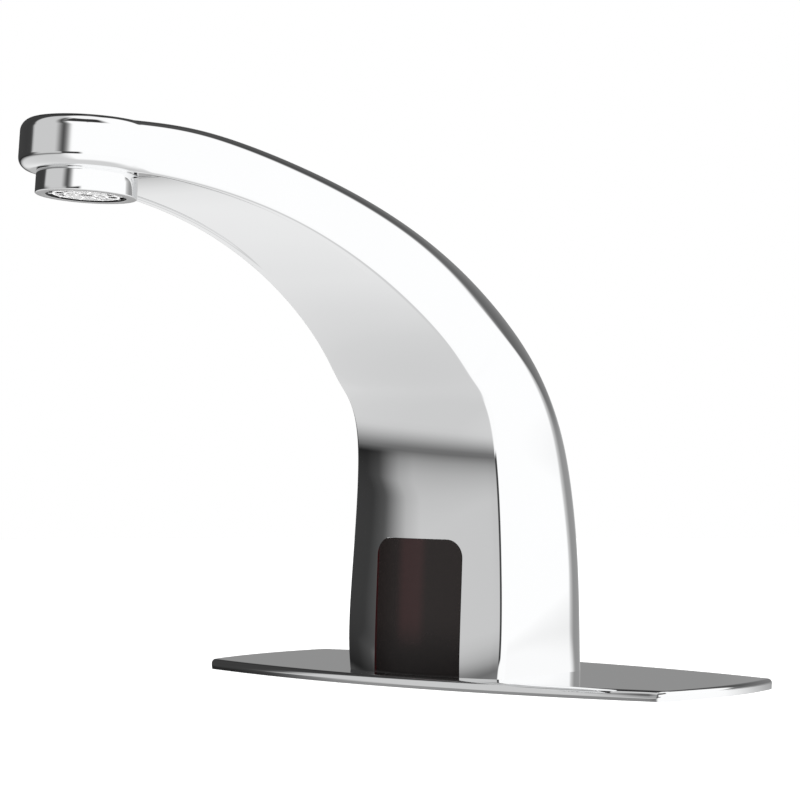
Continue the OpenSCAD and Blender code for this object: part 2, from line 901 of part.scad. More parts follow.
// Perforated filter disc above the supply thread
module inlet_filter() {
    color("lightsteelblue")
        translate([0, 0, supply_l])
            difference() {
                cylinder(r = filter_r - fit_gap, h = filter_t);
                for (ring = [0:2], spoke = [0:max(6 * ring, 1) - 1])
                    rotate([0, 0, 360 * spoke / max(6 * ring, 1)])
                        translate([2.2 * filter_hole_r * ring, 0, -overrun])
                            cylinder(r = filter_hole_r, h = filter_t + 2 * overrun, $fn = 16);
            }
}

// Rubber washer between the adapter and the valve
module inlet_seal() {
    color("black")
        translate([0, 0, adapter_top])
            washer(adapter_r - 2 * fit_gap, chamber_r + 2 * fit_gap, washer_t);
}

// Check poppet, resting on its seat
module check_poppet() {
    color("white")
        translate([0, 0, seat_z + fit_gap]) {
            cylinder(r = poppet_r, h = poppet_t);
            cylinder(r = poppet_stem_r, h = poppet_t + poppet_stem_l);
        }
}

// Spring that closes the check poppet
module check_spring() {
    color("lightsteelblue")
        translate([0, 0, seat_z + poppet_t + 2 * fit_gap])
            coil_spring(check_spring_r, check_wire_r, check_spring_l - 2 * fit_gap, check_turns);
}

// Square valve block with a round spigot below and an outlet nipple at its side
module valve_body() {
    color("whitesmoke")
        difference() {
            union() {
                translate([0, 0, valve_spigot_z])
                    cylinder(r = valve_spigot_r, h = valve_spigot_l + washer_t + fit_gap);
                translate([-valve_w / 2, -valve_w / 2, valve_z])
                    cube([valve_w, valve_w, valve_top - valve_z]);
                translate([0, -2 * nipple_r, lug_z])
                    cube([nipple_x, 4 * nipple_r, lug_h]);
                translate([nipple_x, 0, lug_z]) {
                    cylinder(r = 2 * nipple_r, h = lug_h);
                    cylinder(r = nipple_r, h = lug_h + nipple_l);
                }
            }
            translate([0, 0, valve_spigot_z - overrun])
                cylinder(r = seat_r, h = gallery_z + gallery_r / 2 - valve_spigot_z + overrun);
            translate([-gallery_x, 0, gallery_z])
                rotate([0, 90, 0])
                    cylinder(r = gallery_r, h = 2 * gallery_x);
            both_sides(gallery_x)
                translate([0, 0, gallery_z - 1.3 * gallery_r])
                    cylinder(r = 1.2 * gallery_r, h = ring_z + 1.3 * gallery_r - gallery_z + overrun);
            translate([0, 0, outlet_port_z])
                cylinder(r = main_seat_r, h = ring_h + valve_top - outlet_port_z);
            translate([0, 0, outlet_port_z])
                rotate([0, 90, 0])
                    cylinder(r = outlet_port_r, h = nipple_x);
            translate([nipple_x, 0, outlet_port_z])
                cylinder(r = nipple_bore_r, h = lug_h + nipple_l);
            translate([0, 0, ring_z])
                washer(ring_outer_r, ring_inner_r, ring_h + overrun);
            translate([0, 0, main_seat_z])
                cylinder(r = ring_inner_r + overrun, h = ring_h);
            valve_screw_places()
                translate([0, 0, cover_top - valve_screw_l - overrun])
                    cylinder(r = valve_screw_r + fit_gap, h = valve_screw_l);
        }
}

// Children at the valve's four corners
module valve_screw_places() {
    for (sx = [-1, 1], sy = [-1, 1])
        translate([sx * valve_screw_at, sy * valve_screw_at, 0])
            children();
}

// Rubber membrane ring, clamped between block and cover
module valve_membrane() {
    color("black")
        translate([0, 0, valve_top])
            washer(membrane_r, diaphragm_r + plate_lift_gap, membrane_t);
}

// Stiff centre of the diaphragm, resting on the main seat
module diaphragm_plate() {
    color("ivory")
        translate([0, 0, main_seat_z + fit_gap])
            cylinder(r = diaphragm_r, h = diaphragm_t);
}

// Valve cover with the room above the diaphragm and the pilot hole
module valve_cover() {
    color("whitesmoke")
        difference() {
            translate([-valve_w / 2, -valve_w / 2, cover_z])
                cube([valve_w, valve_w, cover_t]);
            translate([0, 0, cover_z - overrun])
                cylinder(r = diaphragm_r + plate_lift_gap, h = cover_room_h + overrun);
            translate([0, 0, cover_z])
                cylinder(r = pilot_r, h = cover_t + overrun);
            valve_screw_places()
                translate([0, 0, cover_z - overrun])
                    cylinder(r = valve_screw_r + fit_gap, h = cover_t + 2 * overrun);
        }
}

// Four screws that clamp the cover and membrane to the block
module valve_screws() {
    color("lightsteelblue")
        valve_screw_places()
            translate([0, 0, cover_top])
                cap_screw(valve_screw_r, valve_screw_l, valve_screw_head_r, valve_screw_head_h);
}

// Stainless guide tube with its fixed core
module guide_tube() {
    color("lightgray")
        translate([0, 0, cover_top])
            difference() {
                union() {
                    cylinder(r = guide_flange_r, h = guide_flange_t);
                    cylinder(r = guide_r, h = guide_top - cover_top);
                }
                translate([0, 0, -overrun])
                    cylinder(r = guide_r - guide_wall, h = guide_top - core_h - cover_top + overrun);
            }
}

// Steel plunger with a pocket for its tip below and one for its spring above
module plunger() {
    color("slategray")
        difference() {
            translate([0, 0, plunger_z])
                cylinder(r = plunger_r, h = plunger_top - plunger_z);
            translate([0, 0, plunger_z - overrun])
                cylinder(r = tip_r + fit_gap, h = tip_sunk + overrun);
            translate([0, 0, plunger_top - spring_pocket_d])
                cylinder(r = spring_pocket_r, h = spring_pocket_d + overrun);
        }
}

// Rubber tip that closes the pilot hole
module plunger_seal() {
    color("black")
        translate([0, 0, cover_top + fit_gap])
            cylinder(r = tip_r, h = plunger_z + tip_sunk - cover_top - 2 * fit_gap);
}

// Spring between the plunger and the fixed core
module plunger_spring() {
    bottom = plunger_top - spring_pocket_d + fit_gap;
    color("lightsteelblue")
        translate([0, 0, bottom])
            coil_spring(plunger_spring_r, plunger_wire_r,
                guide_top - core_h - bottom - fit_gap, plunger_turns);
}

// Steel frame round the coil
module coil_frame() {
    leg_x = bobbin_flange_r + assembly_gap;
    bottom = cover_top + guide_flange_t;
    color("gray")
        difference() {
            translate([-leg_x - frame_t, -frame_half_d, bottom])
                cube([2 * (leg_x + frame_t), 2 * frame_half_d, frame_top - bottom]);
            translate([-leg_x, -frame_half_d - overrun, bottom + frame_t])
                cube([2 * leg_x, 2 * (frame_half_d + overrun), frame_top - bottom - 2 * frame_t]);
            translate([0, 0, bottom - overrun])
                cylinder(r = guide_r + fit_gap, h = frame_top - bottom + 2 * overrun);
        }
}

// Plastic bobbin on the guide tube
module coil_bobbin() {
    color("moccasin")
        translate([0, 0, bobbin_z])
            rotate_extrude()
                polygon([
                    [guide_r + fit_gap, 0], [bobbin_flange_r, 0], [bobbin_flange_r, bobbin_wall],
                    [guide_r + bobbin_wall, bobbin_wall],
                    [guide_r + bobbin_wall, bobbin_h - bobbin_wall],
                    [bobbin_flange_r, bobbin_h - bobbin_wall], [bobbin_flange_r, bobbin_h],
                    [guide_r + fit_gap, bobbin_h]
                ]);
}

// Copper winding on the bobbin
module coil_winding() {
    color("sienna")
        translate([0, 0, bobbin_z + bobbin_wall + fit_gap])
            washer(winding_r, guide_r + bobbin_wall + fit_gap,
                bobbin_h - 2 * (bobbin_wall + fit_gap));
}

// Ring magnet that holds the plunger open
module latch_magnet() {
    color("darkgray")
        translate([0, 0, frame_top])
            washer(magnet_r, guide_r + fit_gap, magnet_h);
}

// Route of the outlet tube: up from the nipple, along the middle of the arm, to the tail
tube_mid_shares = [0.34, 0.42, 0.5, 0.58, 0.66, 0.74, 0.8];
tube_end_l = 12;
tube_route = concat(
    [[nipple_x, 0, tube_start_z], [nipple_x, 0, tube_start_z + nipple_l],
        [nipple_x, 0, tube_start_z + 2 * nipple_l]],
    [for (k = [0:len(tube_mid_shares) - 1])
        let (s = station(tube_mid_shares[k]))
        [nipple_x * max(0, 1 - 0.4 * k), (s[0] + s[2]) / 2, (s[1] + s[3]) / 2]],
    [tail_point(tail_end() + tube_end_l), tail_point(tail_end())]
);

// Where the tail's barb starts, behind the outlet's axis
function tail_end() = tail_bulkhead() + 2 * overrun;

// Point on the tail's axis at a distance behind the outlet's axis
function tail_point(back) =
    [0, on_axis(tail_z)[0] + back * cos(outlet_tilt), on_axis(tail_z)[1] - back * sin(outlet_tilt)];

// Tube swept along a route, with flat ends square to it
module swept_tube(route, r, steps) {
    sides = 10;
    skin([for (i = [0:steps])
        let (
            p = spline_at(route, i / steps),
            q = spline_at(route, min(i + 1, steps) / steps),
            o = spline_at(route, max(i - 1, 0) / steps),
            along = (q - o) / norm(q - o),
            deep = cross(along, [1, 0, 0]) / norm(cross(along, [1, 0, 0])),
            wide = cross(deep, along)
        )
        [for (k = [0:sides - 1])
            let (a = 360 * k / sides)
            p + r * (cos(a) * wide + sin(a) * deep)]]);
}

// Flexible tube from the valve to the head
module outlet_tube() {
    color("snow")
        difference() {
            swept_tube(tube_route, tube_r, 60);
            translate([nipple_x, 0, tube_start_z - overrun])
                cylinder(r = nipple_r + fit_gap, h = nipple_l + overrun);
            at_outlet()
                translate([0, 0, tail_z])
                    facing_back()
                        cylinder(r = nipple_r + fit_gap, h = tail_end() + tail_barb_l + 3 * fit_gap);
        }
}

// Spring clips round both ends of the tube
module tube_clips() {
    clip_l = 3;
    clip_t = 0.4;
    color("lightsteelblue") {
        translate([nipple_x, 0, tube_start_z + nipple_l / 3])
            washer(tube_r + fit_gap + clip_t, tube_r + fit_gap, clip_l);
        at_outlet()
            translate([0, 0, tail_z])
                facing_back()
                    translate([0, 0, tail_end() + clip_l / 2])
                        washer(tube_r + fit_gap + clip_t, tube_r + fit_gap, clip_l);
    }
}

// Brass hose tail pressed into the head
module outlet_adapter() {
    color("goldenrod")
        at_outlet()
            translate([0, 0, tail_z])
                facing_back()
                    translate([0, 0, tail_start + fit_gap])
                        difference() {
                            union() {
                                cylinder(r = tail_r, h = tail_end() - tail_start - 2 * fit_gap);
                                cylinder(r = nipple_r, h = tail_end() - tail_start + tail_barb_l);
                            }
                            translate([0, 0, -overrun])
                                cylinder(r = nipple_bore_r,
                                    h = tail_end() - tail_start + tail_barb_l + 2 * overrun);
                        }
}

// Outlet collar with its threaded shank and inner ledge
module aerator_housing() {
    color("gainsboro")
        at_outlet()
            rotate_extrude()
                polygon([
                    [outlet_r, 0], [collar_r - fit_gap * 6, 0], [collar_r, fit_gap * 6],
                    [collar_r, collar_h], [shank_r, collar_h], [shank_r, collar_h + shank_h],
                    [outlet_chamber_r, collar_h + shank_h],
                    [outlet_chamber_r, collar_h + shank_h - ledge_t],
                    [outlet_r, collar_h + shank_h - ledge_t]
                ]);
}

// Ring-and-spoke grille in the outlet
module aerator_grille() {
    color("lightgray")
        at_outlet()
            translate([0, 0, grille_z]) {
                for (ring = [1:grille_ring_count])
                    let (r = (outlet_r - fit_gap) * ring / grille_ring_count)
                    washer(r, r - grille_bar, grille_h);
                for (spoke = [0:grille_spoke_count - 1])
                    rotate([0, 0, 360 * spoke / grille_spoke_count])
                        translate([outlet_r / grille_ring_count - grille_bar, -grille_bar / 2, 0])
                            cube([outlet_r * (1 - 1 / grille_ring_count), grille_bar, grille_h / 2]);
            }
}

// Fine mesh above the grille
module aerator_mesh() {
    color("slategray")
        at_outlet()
            translate([0, 0, mesh_z])
                cylinder(r = outlet_r - fit_gap, h = mesh_t);
}

// Flow regulator with a ring of jets
module flow_regulator() {
    color("ivory")
        at_outlet()
            translate([0, 0, regulator_z])
                difference() {
                    cylinder(r = outlet_r - fit_gap, h = regulator_top - regulator_z);
                    for (jet = [0:regulator_hole_count - 1])
                        rotate([0, 0, 360 * jet / regulator_hole_count])
                            translate([0.6 * outlet_r, 0, -overrun])
                                cylinder(r = regulator_hole_r, h = regulator_top);
                }
}

// Rubber washer above the aerator
module aerator_seal() {
    color("black")
        at_outlet()
            translate([0, 0, collar_h + shank_h])
                washer(shank_r, outlet_chamber_r, outlet_seal_t);
}

spout_body();
deck_plate();
sensor_window();
aerator_housing();
aerator_grille();
aerator_mesh();
flow_regulator();
aerator_seal();
outlet_adapter();
outlet_tube();
tube_clips();
deck_gasket();
base_seal();
base_bracket();
bracket_screws();
window_gasket();
sensor_housing();
sensor_board();
board_parts();
ir_emitter();
ir_receiver();
status_led();
sensor_screws();
power_socket();
inlet_adapter();
inlet_filter();
inlet_seal();
check_poppet();
check_spring();
valve_body();
valve_membrane();
diaphragm_plate();
valve_cover();
valve_screws();
guide_tube();
plunger();
plunger_seal();
plunger_spring();
coil_frame();
coil_bobbin();
coil_winding();
latch_magnet();
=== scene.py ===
"""Looks of a touch-free basin tap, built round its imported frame.

The chrome body, deck plate, window, outlet and springs are fine meshes that stand for the plain
solids. The other pieces inside keep their solids and get their finishes. Lengths in the classes
are in millimetres and become metres when a mesh is made; those in finishes are in metres.
"""

import logging
import math
from dataclasses import dataclass
from enum import Enum
from typing import NamedTuple

import bmesh
import bpy
import numpy as np
from mathutils import Matrix, Vector


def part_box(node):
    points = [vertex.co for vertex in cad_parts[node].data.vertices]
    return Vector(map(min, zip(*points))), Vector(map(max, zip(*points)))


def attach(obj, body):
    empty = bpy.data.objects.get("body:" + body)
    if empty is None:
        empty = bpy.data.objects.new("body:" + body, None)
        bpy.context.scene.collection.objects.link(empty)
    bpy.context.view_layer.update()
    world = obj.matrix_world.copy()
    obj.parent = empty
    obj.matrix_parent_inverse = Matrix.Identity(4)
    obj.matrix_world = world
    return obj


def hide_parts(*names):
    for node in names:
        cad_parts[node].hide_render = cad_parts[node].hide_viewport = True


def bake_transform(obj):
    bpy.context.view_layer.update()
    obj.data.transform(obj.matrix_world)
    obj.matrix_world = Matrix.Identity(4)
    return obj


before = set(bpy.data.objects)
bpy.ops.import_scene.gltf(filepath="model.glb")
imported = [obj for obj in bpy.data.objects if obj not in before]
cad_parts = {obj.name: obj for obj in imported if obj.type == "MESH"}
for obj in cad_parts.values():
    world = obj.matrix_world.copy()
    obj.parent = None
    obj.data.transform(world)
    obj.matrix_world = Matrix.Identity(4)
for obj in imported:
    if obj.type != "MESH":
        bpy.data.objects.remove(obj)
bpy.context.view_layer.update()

MM = 0.001
QUARTER = math.pi / 2
FULL_TURN = 2 * math.pi
# Points nearer than this are merged, in metres
MERGE_DIST = 1e-6
# Edges shorter than this are dissolved, in metres
DEGENERATE_DIST = 1e-7
# Faces nearer than this to a plane or a bore lie on it, in millimetres
TOUCH = 0.02
# Sockets of a Mix node that hold colours
MIX_LOW = 6
MIX_HIGH = 7
MIX_COLOUR = 2
LOG = logging.getLogger("tap")
Socket = bpy.types.NodeSocket
Pair = tuple[float, float]
Colour = tuple[float, float, float]
Outline = list[Pair]
Ring = list[tuple[float, float, float]]
Stops = tuple[Pair, ...]


class Slot(Enum):
    """Material slot names of the record; no piece in this script takes its finish from them."""

    BODY = "body_chrome"
    PLATE = "plate_chrome"
    WINDOW = "smoked_window"
    GRILLE = "grille_plastic"
    STEEL = "fine_steel"


# Mesh helpers


def mesh_object(name: str, points: np.ndarray, faces: list,
                sharp_deg: float = 40) -> bpy.types.Object:
    """Makes a smooth-shaded object from millimetre points.

    Args:
        name: Name of the object.
        points: Rows of x, y, z in millimetres.
        faces: Lists of point indices.
        sharp_deg: Edges that turn by more than this stay sharp.

    Returns:
        The new object, linked to the scene.
    """
    mesh = bpy.data.meshes.new(name)
    mesh.from_pydata((np.asarray(points) * MM).tolist(), [], faces)
    obj = bpy.data.objects.new(name, mesh)
    bpy.context.scene.collection.objects.link(obj)
    clean(obj)
    smooth(obj, sharp_deg)
    return obj


def clean(obj: bpy.types.Object) -> None:
    """Merges doubles and turns faces outwards.

    Args:
        obj: The mesh object.
    """
    work = bmesh.new()
    work.from_mesh(obj.data)
    bmesh.ops.remove_doubles(work, verts=work.verts, dist=MERGE_DIST)
    bmesh.ops.dissolve_degenerate(work, edges=work.edges, dist=DEGENERATE_DIST)
    bmesh.ops.recalc_face_normals(work, faces=work.faces)
    work.to_mesh(obj.data)
    work.free()


def smooth(obj: bpy.types.Object, sharp_deg: float) -> None:
    """Shades a mesh object smooth, apart from edges that turn by more than some degrees."""
    obj.data.shade_smooth()
    obj.data.set_sharp_from_angle(angle=math.radians(sharp_deg))


def arc(middle: Pair, radius: float, start: float, end: float,
        steps: int) -> Outline:
    """Points of an arc, both ends included.

    Args:
        middle: Its middle.
        radius: Its radius.
        start: Angle of its first point.
        end: Angle of its last point.
        steps: Steps between them.

    Returns:
        Points as (x, y).
    """
    turns = [start + (end - start) * k / steps for k in range(steps + 1)]
    return [(middle[0] + radius * math.cos(turn), middle[1] + radius * math.sin(turn))
            for turn in turns]


def circle(radius: float, steps: int) -> Outline:
    """Points of a circle round the origin."""
    return arc((0, 0), radius, 0.0, FULL_TURN, steps)[:-1]


def skin(rings: list[Ring], first_cap: bool = True,
         last_cap: bool = True) -> tuple[np.ndarray, list]:
    """Joins rings of equal counts with quads.

    Args:
        rings: Closed rings of points.
        first_cap: Whether the first ring is closed by a face.
        last_cap: Whether the last ring is closed by a face.

    Returns:
        The points and the faces.
    """
    count = len(rings[0])
    points = np.array([p for ring in rings for p in ring], float)
    faces = []
    for i in range(0, count * (len(rings) - 1), count):
        for j in range(count):
            k = (j + 1) % count
            faces.append((i + j, i + k, i + count + k, i + count + j))
    if first_cap:
        faces.append(tuple(range(count)))
    if last_cap:
        faces.append(tuple((len(rings) - 1) * count + j for j in reversed(range(count))))
    return points, faces


def lathe(name: str, profile: Outline, steps: int, place: Matrix,
          sharp_deg: float) -> bpy.types.Object:
    """Turns a closed profile of radius and height round an axis.

    Args:
        name: Name of the object.
        profile: Corners of the profile as (radius, height) in millimetres.
        steps: Steps round the axis.
        place: Where the axis stands, in millimetres.
        sharp_deg: Edges that turn by more than this stay sharp.

    Returns:
        The new object.
    """
    rings = [[tuple(place @ Vector((r * x, r * y, h))) for r, h in profile]
             for x, y in circle(1, steps)]
    rings.append(rings[0])
    points, faces = skin(rings, False, False)
    return mesh_object(name, points, faces, sharp_deg)


def rounded(profile: list[tuple[float, float, float]], steps: int = 5) -> Outline:
    """Rounds the corners of a closed outline.

    Args:
        profile: Corners as (x, y, corner radius).
        steps: Steps in each rounded corner.

    Returns:
        The outline's points.
    """
    out: Outline = []
    for i, (x, y, radius) in enumerate(profile):
        here = Vector((x, y))
        if radius <= 0:
            out.append((x, y))
            continue
        back = (Vector(profile[i - 1][:2]) - here).normalized()
        ahead = (Vector(profile[(i + 1) % len(profile)][:2]) - here).normalized()
        half = back.angle(ahead) / 2
        middle = here + (back + ahead).normalized() * radius / math.sin(half)
        start = here + back * radius / math.tan(half) - middle
        end = here + ahead * radius / math.tan(half) - middle
        sweep = start.angle_signed(end)
        for k in range(steps + 1):
            turned = start.copy()
            turned.rotate(Matrix.Rotation(-sweep * k / steps, 2))
            out.append(tuple(middle + turned))
    return out


def cut(obj: bpy.types.Object, tools: list[bpy.types.Object], sharp_deg: float) -> None:
    """Cuts tools out of an object and removes them.

    Args:
        obj: The object to cut.
        tools: Closed meshes to take away.
        sharp_deg: Edges that turn by more than this stay sharp.
    """
    for tool in tools:
        modifier = obj.modifiers.new("cut", "BOOLEAN")
        modifier.operation = "DIFFERENCE"
        modifier.object = tool
        modifier.solver = "MANIFOLD"
        bake(obj)
        bpy.data.objects.remove(tool, do_unlink=True)
    smooth(obj, sharp_deg)


def bake(obj: bpy.types.Object) -> None:
    """Replaces an object's mesh by its evaluated one and clears its modifiers.

    Args:
        obj: The mesh object.
    """
    depsgraph = bpy.context.evaluated_depsgraph_get()
    depsgraph.update()
    mesh = bpy.data.meshes.new_from_object(obj.evaluated_get(depsgraph), depsgraph=depsgraph)
    obj.modifiers.clear()
    old = obj.data
    obj.data = mesh
    if old.users == 0:
        bpy.data.meshes.remove(old)


def keep_inside(obj: bpy.types.Object, node: str) -> None:
    """Draws a skin in by a hair, so that it stays inside the box of the CAD node it replaces.

    Args:
        obj: The mesh object.
        node: Name of the CAD node.
    """
    spots = np.array([tuple(v.co) for v in obj.data.vertices])
    for axis, limits in enumerate(zip(*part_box(node))):
        for limit, reach in zip(limits, (spots[:, axis].min(), spots[:, axis].max())):
            if abs(reach) > abs(limit) > 0:
                side = spots[:, axis] * reach > 0
                spots[side, axis] *= limit / reach
    obj.data.vertices.foreach_set("co", spots.ravel())
    obj.data.update()


def soften(obj: bpy.types.Object, width: float, segments: int, sharp_deg: float) -> None:
    """Rounds the sharp edges of an object a little.

    Args:
        obj: The mesh object.
        width: Width of the rounding in millimetres.
        segments: Steps in the rounding.
        sharp_deg: Edges that turn by more than this are rounded.
    """
    modifier = obj.modifiers.new("soften", "BEVEL")
    modifier.width = width * MM
    modifier.segments = segments
    modifier.limit_method = "ANGLE"
    modifier.angle_limit = math.radians(sharp_deg)
    modifier.harden_normals = False
    bake(obj)
    smooth(obj, sharp_deg)


# Finishes


class Graph:
    """Short way to add and link the nodes of one tree."""

    def __init__(self, tree: bpy.types.NodeTree) -> None:
        """Keeps the tree and empties it."""
        self.tree = tree
        tree.nodes.clear()

    def set(self, node: bpy.types.Node, key: str | int, value: object) -> None:
        """Links a socket to a node's input, or sets the input to a value.

        Args:
            node: The node.
            key: Name or index of the input.
            value: The socket or the value.
        """
        if isinstance(value, Socket):
            self.tree.links.new(value, node.inputs[key])
        else:
            node.inputs[key].default_value = value

    def add(self, kind: str, inputs: dict | None = None, **settings: object) -> bpy.types.Node:
        """Adds a node.

        Args:
            kind: Type name of the node.
            inputs: Values or sockets for inputs, by name or index.
            settings: Attributes of the node.

        Returns:
            The node.
        """
        node = self.tree.nodes.new(kind)
        for key, value in settings.items():
            setattr(node, key, value)
        for key, value in (inputs or {}).items():
            self.set(node, key, value)
        return node

    def math(self, operation: str, *values: object) -> Socket:
        """Adds a math node on values or sockets and returns its output."""
        return self.add("ShaderNodeMath", dict(enumerate(values)), operation=operation).outputs[0]

    def minus(self, one: object, other: object) -> Socket:
        """Adds a difference of two numbers and returns it."""
        return self.math("SUBTRACT", one, other)

    def product(self, one: object, other: object) -> Socket:
        """Adds a product of two numbers and returns it."""
        return self.math("MULTIPLY", one, other)

    def vector(self, **parts: object) -> Socket:
        """Adds a vector of the given X, Y and Z and returns it."""
        return self.add("ShaderNodeCombineXYZ", parts).outputs[0]

    def times(self, one: Socket, other: Socket) -> Socket:
        """Adds a product of two colours and returns it."""
        return self.add("ShaderNodeVectorMath", {0: one, 1: other}, operation="MULTIPLY").outputs[0]

    def mix(self, factor: object, low: object, high: object) -> Socket:
        """Adds a colour mix of two colours or sockets and returns its colour."""
        node = self.add("ShaderNodeMix", {0: factor, MIX_LOW: low, MIX_HIGH: high}, data_type="RGBA")
        return node.outputs[MIX_COLOUR]

    def spread(self, value: Socket, start: float, end: float, smoothly: bool = False,
               to: Pair = (0.0, 1.0)) -> Socket:
        """Adds a change between two numbers.

        Args:
            value: The socket that is looked at.
            start: Its value at which the change starts.
            end: Its value at which the change ends.
            smoothly: Whether the change eases in and out.
            to: The numbers before and after the change.

        Returns:
            The number.
        """
        return self.add(
            "ShaderNodeMapRange",
            {"Value": value, "From Min": start, "From Max": end, "To Min": to[0], "To Max": to[1]},
            interpolation_type="SMOOTHSTEP" if smoothly else "LINEAR").outputs[0]

    def over(self, value: Socket, stops: Stops) -> Socket:
        """Adds a ramp of greys.

        Args:
            value: The socket to look up, from the first stop's place to the last one's.
            stops: Pairs of place and linear grey, at most 32.

        Returns:
            The ramp's colour.
        """
        low, high = stops[0][0], stops[-1][0]
        node = self.add("ShaderNodeValToRGB", {0: self.spread(value, low, high)})
        elements = node.color_ramp.elements
        while len(elements) < len(stops):
            elements.new(0.5)
        for element, (place, grey) in zip(elements, stops):
            element.position = (place - low) / (high - low)
            element.color = (grey, grey, grey, 1)
        return node.outputs[0]

    def noise(self, place: Socket, cells: float, detail: float) -> Socket:
        """Adds noise of some cells a metre and returns its value."""
        return self.add("ShaderNodeTexNoise",
                        {"Vector": place, "Scale": cells, "Detail": detail}).outputs[0]

    def bump(self, height: Socket, strength: float, distance: float) -> Socket:
        """Adds a relief and returns its normal."""
        return self.add("ShaderNodeBump", {
            "Strength": strength, "Distance": distance, "Height": height}).outputs[0]


def new_material(name: str) -> tuple[bpy.types.Material, Graph, Socket]:
    """Starts a material.

    Args:
        name: Name of the material.

    Returns:
        The material, the graph of its empty tree, and the place in object coordinates.
    """
    material = bpy.data.materials.new(name)
    material.use_nodes = True
    graph = Graph(material.node_tree)
    return material, graph, graph.add("ShaderNodeTexCoord").outputs["Object"]


def toned(colour: Colour, factor: float) -> tuple[float, ...]:
    """Colour with its parts multiplied by a factor, and an alpha of 1."""
    return (*(min(part * factor, 1) for part in colour), 1)


@dataclass(frozen=True)
class Finish:
    """A finish with a slightly uneven colour, roughness and relief.

    The noise is read from object coordinates, in cells a metre.
    """

    name: str
    colour: Colour
    roughness: float = 0.4
    metallic: float = 0.0
    tone: float = 0.04
    cells: float = 900.0
    relief: float = 0.02
    wear: float = 0.15
    specular: float = 0.5
    broad_share: float = 1 / 9
    relief_depth: float = 0.0002
    fine_detail: float = 3.0
    broad_detail: float = 2.0

    def material(self) -> bpy.types.Material:
        """Builds the material.

        Returns:
            The node-based material.
        """
        material, graph, place = new_material(self.name)
        fine = graph.noise(place, self.cells, self.fine_detail)
        broad = graph.noise(place, self.cells * self.broad_share, self.broad_detail)
        colour = graph.mix(
            broad, toned(self.colour, 1 - self.tone), toned(self.colour, 1 + self.tone))
        wear = (self.roughness * (1 - self.wear), self.roughness * (1 + self.wear))
        shader = graph.add("ShaderNodeBsdfPrincipled", {
            "Base Color": colour, "Roughness": graph.spread(fine, 0.0, 1.0, to=wear),
            "Metallic": self.metallic, "Specular IOR Level": self.specular,
            "Normal": graph.bump(fine, self.relief, self.relief_depth)})
        graph.add("ShaderNodeOutputMaterial", {"Surface": shader.outputs[0]})
        return material


@dataclass(frozen=True)
class Chrome:
    """Polished chrome plate with the faint swell of a buffed casting."""

    name: str
    colour: Colour = (0.955, 0.96, 0.965)
    tint: float = 0.985
    roughness: float = 0.018
    haze: float = 0.012
    haze_cells: float = 770.0
    haze_detail: float = 4.0
    smear_cells: float = 27.5
    smear_detail: float = 3.0
    swell: float = 0.012
    swell_cells: float = 55.0
    swell_detail: float = 1.0
    swell_depth: float = 0.001

    def material(self) -> bpy.types.Material:
        """Builds the material.

        Returns:
            The node-based material.
        """
        material, graph, place = new_material(self.name)
        swell = graph.noise(place, self.swell_cells, self.swell_detail)
        haze = graph.noise(place, self.haze_cells, self.haze_detail)
        smear = graph.noise(place, self.smear_cells, self.smear_detail)
        rough = graph.spread(graph.product(haze, smear), 0.0, 1.0,
                             to=(self.roughness, self.roughness + self.haze))
        colour = graph.mix(smear, toned(self.colour, self.tint), toned(self.colour, 1))
        shader = graph.add("ShaderNodeBsdfPrincipled", {
            "Base Color": colour, "Metallic": 1.0, "Roughness": rough,
            "Normal": graph.bump(swell, self.swell, self.swell_depth)})
        graph.add("ShaderNodeOutputMaterial", {"Surface": shader.outputs[0]})
        return material


@dataclass(frozen=True)
class SmokedWindow:
    """Polished brown-black window with a faint deep red glow painted into the colour of its middle.

    The chrome mirrors it only from near by: rays that come from further off pass through it.
    """

    name: str = "smoked_red_black"
    shade: Colour = (0.0125, 0.0095, 0.009)
    foot_shade: float = 0.55
    # painted glow: red colour painted into the window's middle, as if lit from behind
    glow: Colour = (0.026, 0.0125, 0.0125)
    glow_middle: float = -0.0015
    glow_half: float = 0.006
    glow_core: float = 0.002
    glow_foot: Pair = (0.008, 0.019)
    rim_red: Colour = (0.022, 0.0015, 0.0018)
    rim_at: float = -0.01425
    grain_cells: float = 400.0
    grain_detail: float = 2.0
    grain: float = 0.01
    grain_depth: float = 0.001
    roughness: float = 0.12
    specular: float = 0.28
    mirror_reach: float = 0.03

    def material(self) -> bpy.types.Material:
        """Builds the material.

        Returns:
            The node-based material.
        """
        material, graph, place = new_material(self.name)
        spot = graph.add("ShaderNodeSeparateXYZ", {0: place}).outputs
        aside = graph.math("ABSOLUTE", graph.minus(spot[0], self.glow_middle))
        band = graph.spread(aside, self.glow_half, self.glow_core, True)
        foot = graph.spread(spot[2], *self.glow_foot, True)
        shade = graph.mix(foot, toned(self.shade, self.foot_shade), toned(self.shade, 1))
        # painted glow: a red band in the middle of the base colour, fading out towards the foot
        colour = graph.mix(graph.product(band, foot), shade, toned(self.glow, 1))
        rim = graph.math("LESS_THAN", spot[0], self.rim_at)
        colour = graph.mix(rim, colour, toned(self.rim_red, 1))
        grain = graph.noise(place, self.grain_cells, self.grain_detail)
        shader = graph.add("ShaderNodeBsdfPrincipled", {
            "Base Color": colour, "Roughness": self.roughness, "Specular IOR Level": self.specular,
            "Normal": graph.bump(grain, self.grain, self.grain_depth)})
        ray = graph.add("ShaderNodeLightPath").outputs
        far = graph.math("GREATER_THAN", ray["Ray Length"], self.mirror_reach)
        clear = graph.add("ShaderNodeBsdfTransparent")
        seen = graph.add("ShaderNodeMixShader", {
            0: graph.product(ray["Is Glossy Ray"], far), 1: shader.outputs[0], 2: clear.outputs[0]})
        graph.add("ShaderNodeOutputMaterial", {"Surface": seen.outputs[0]})
        return material


# Lines of the body


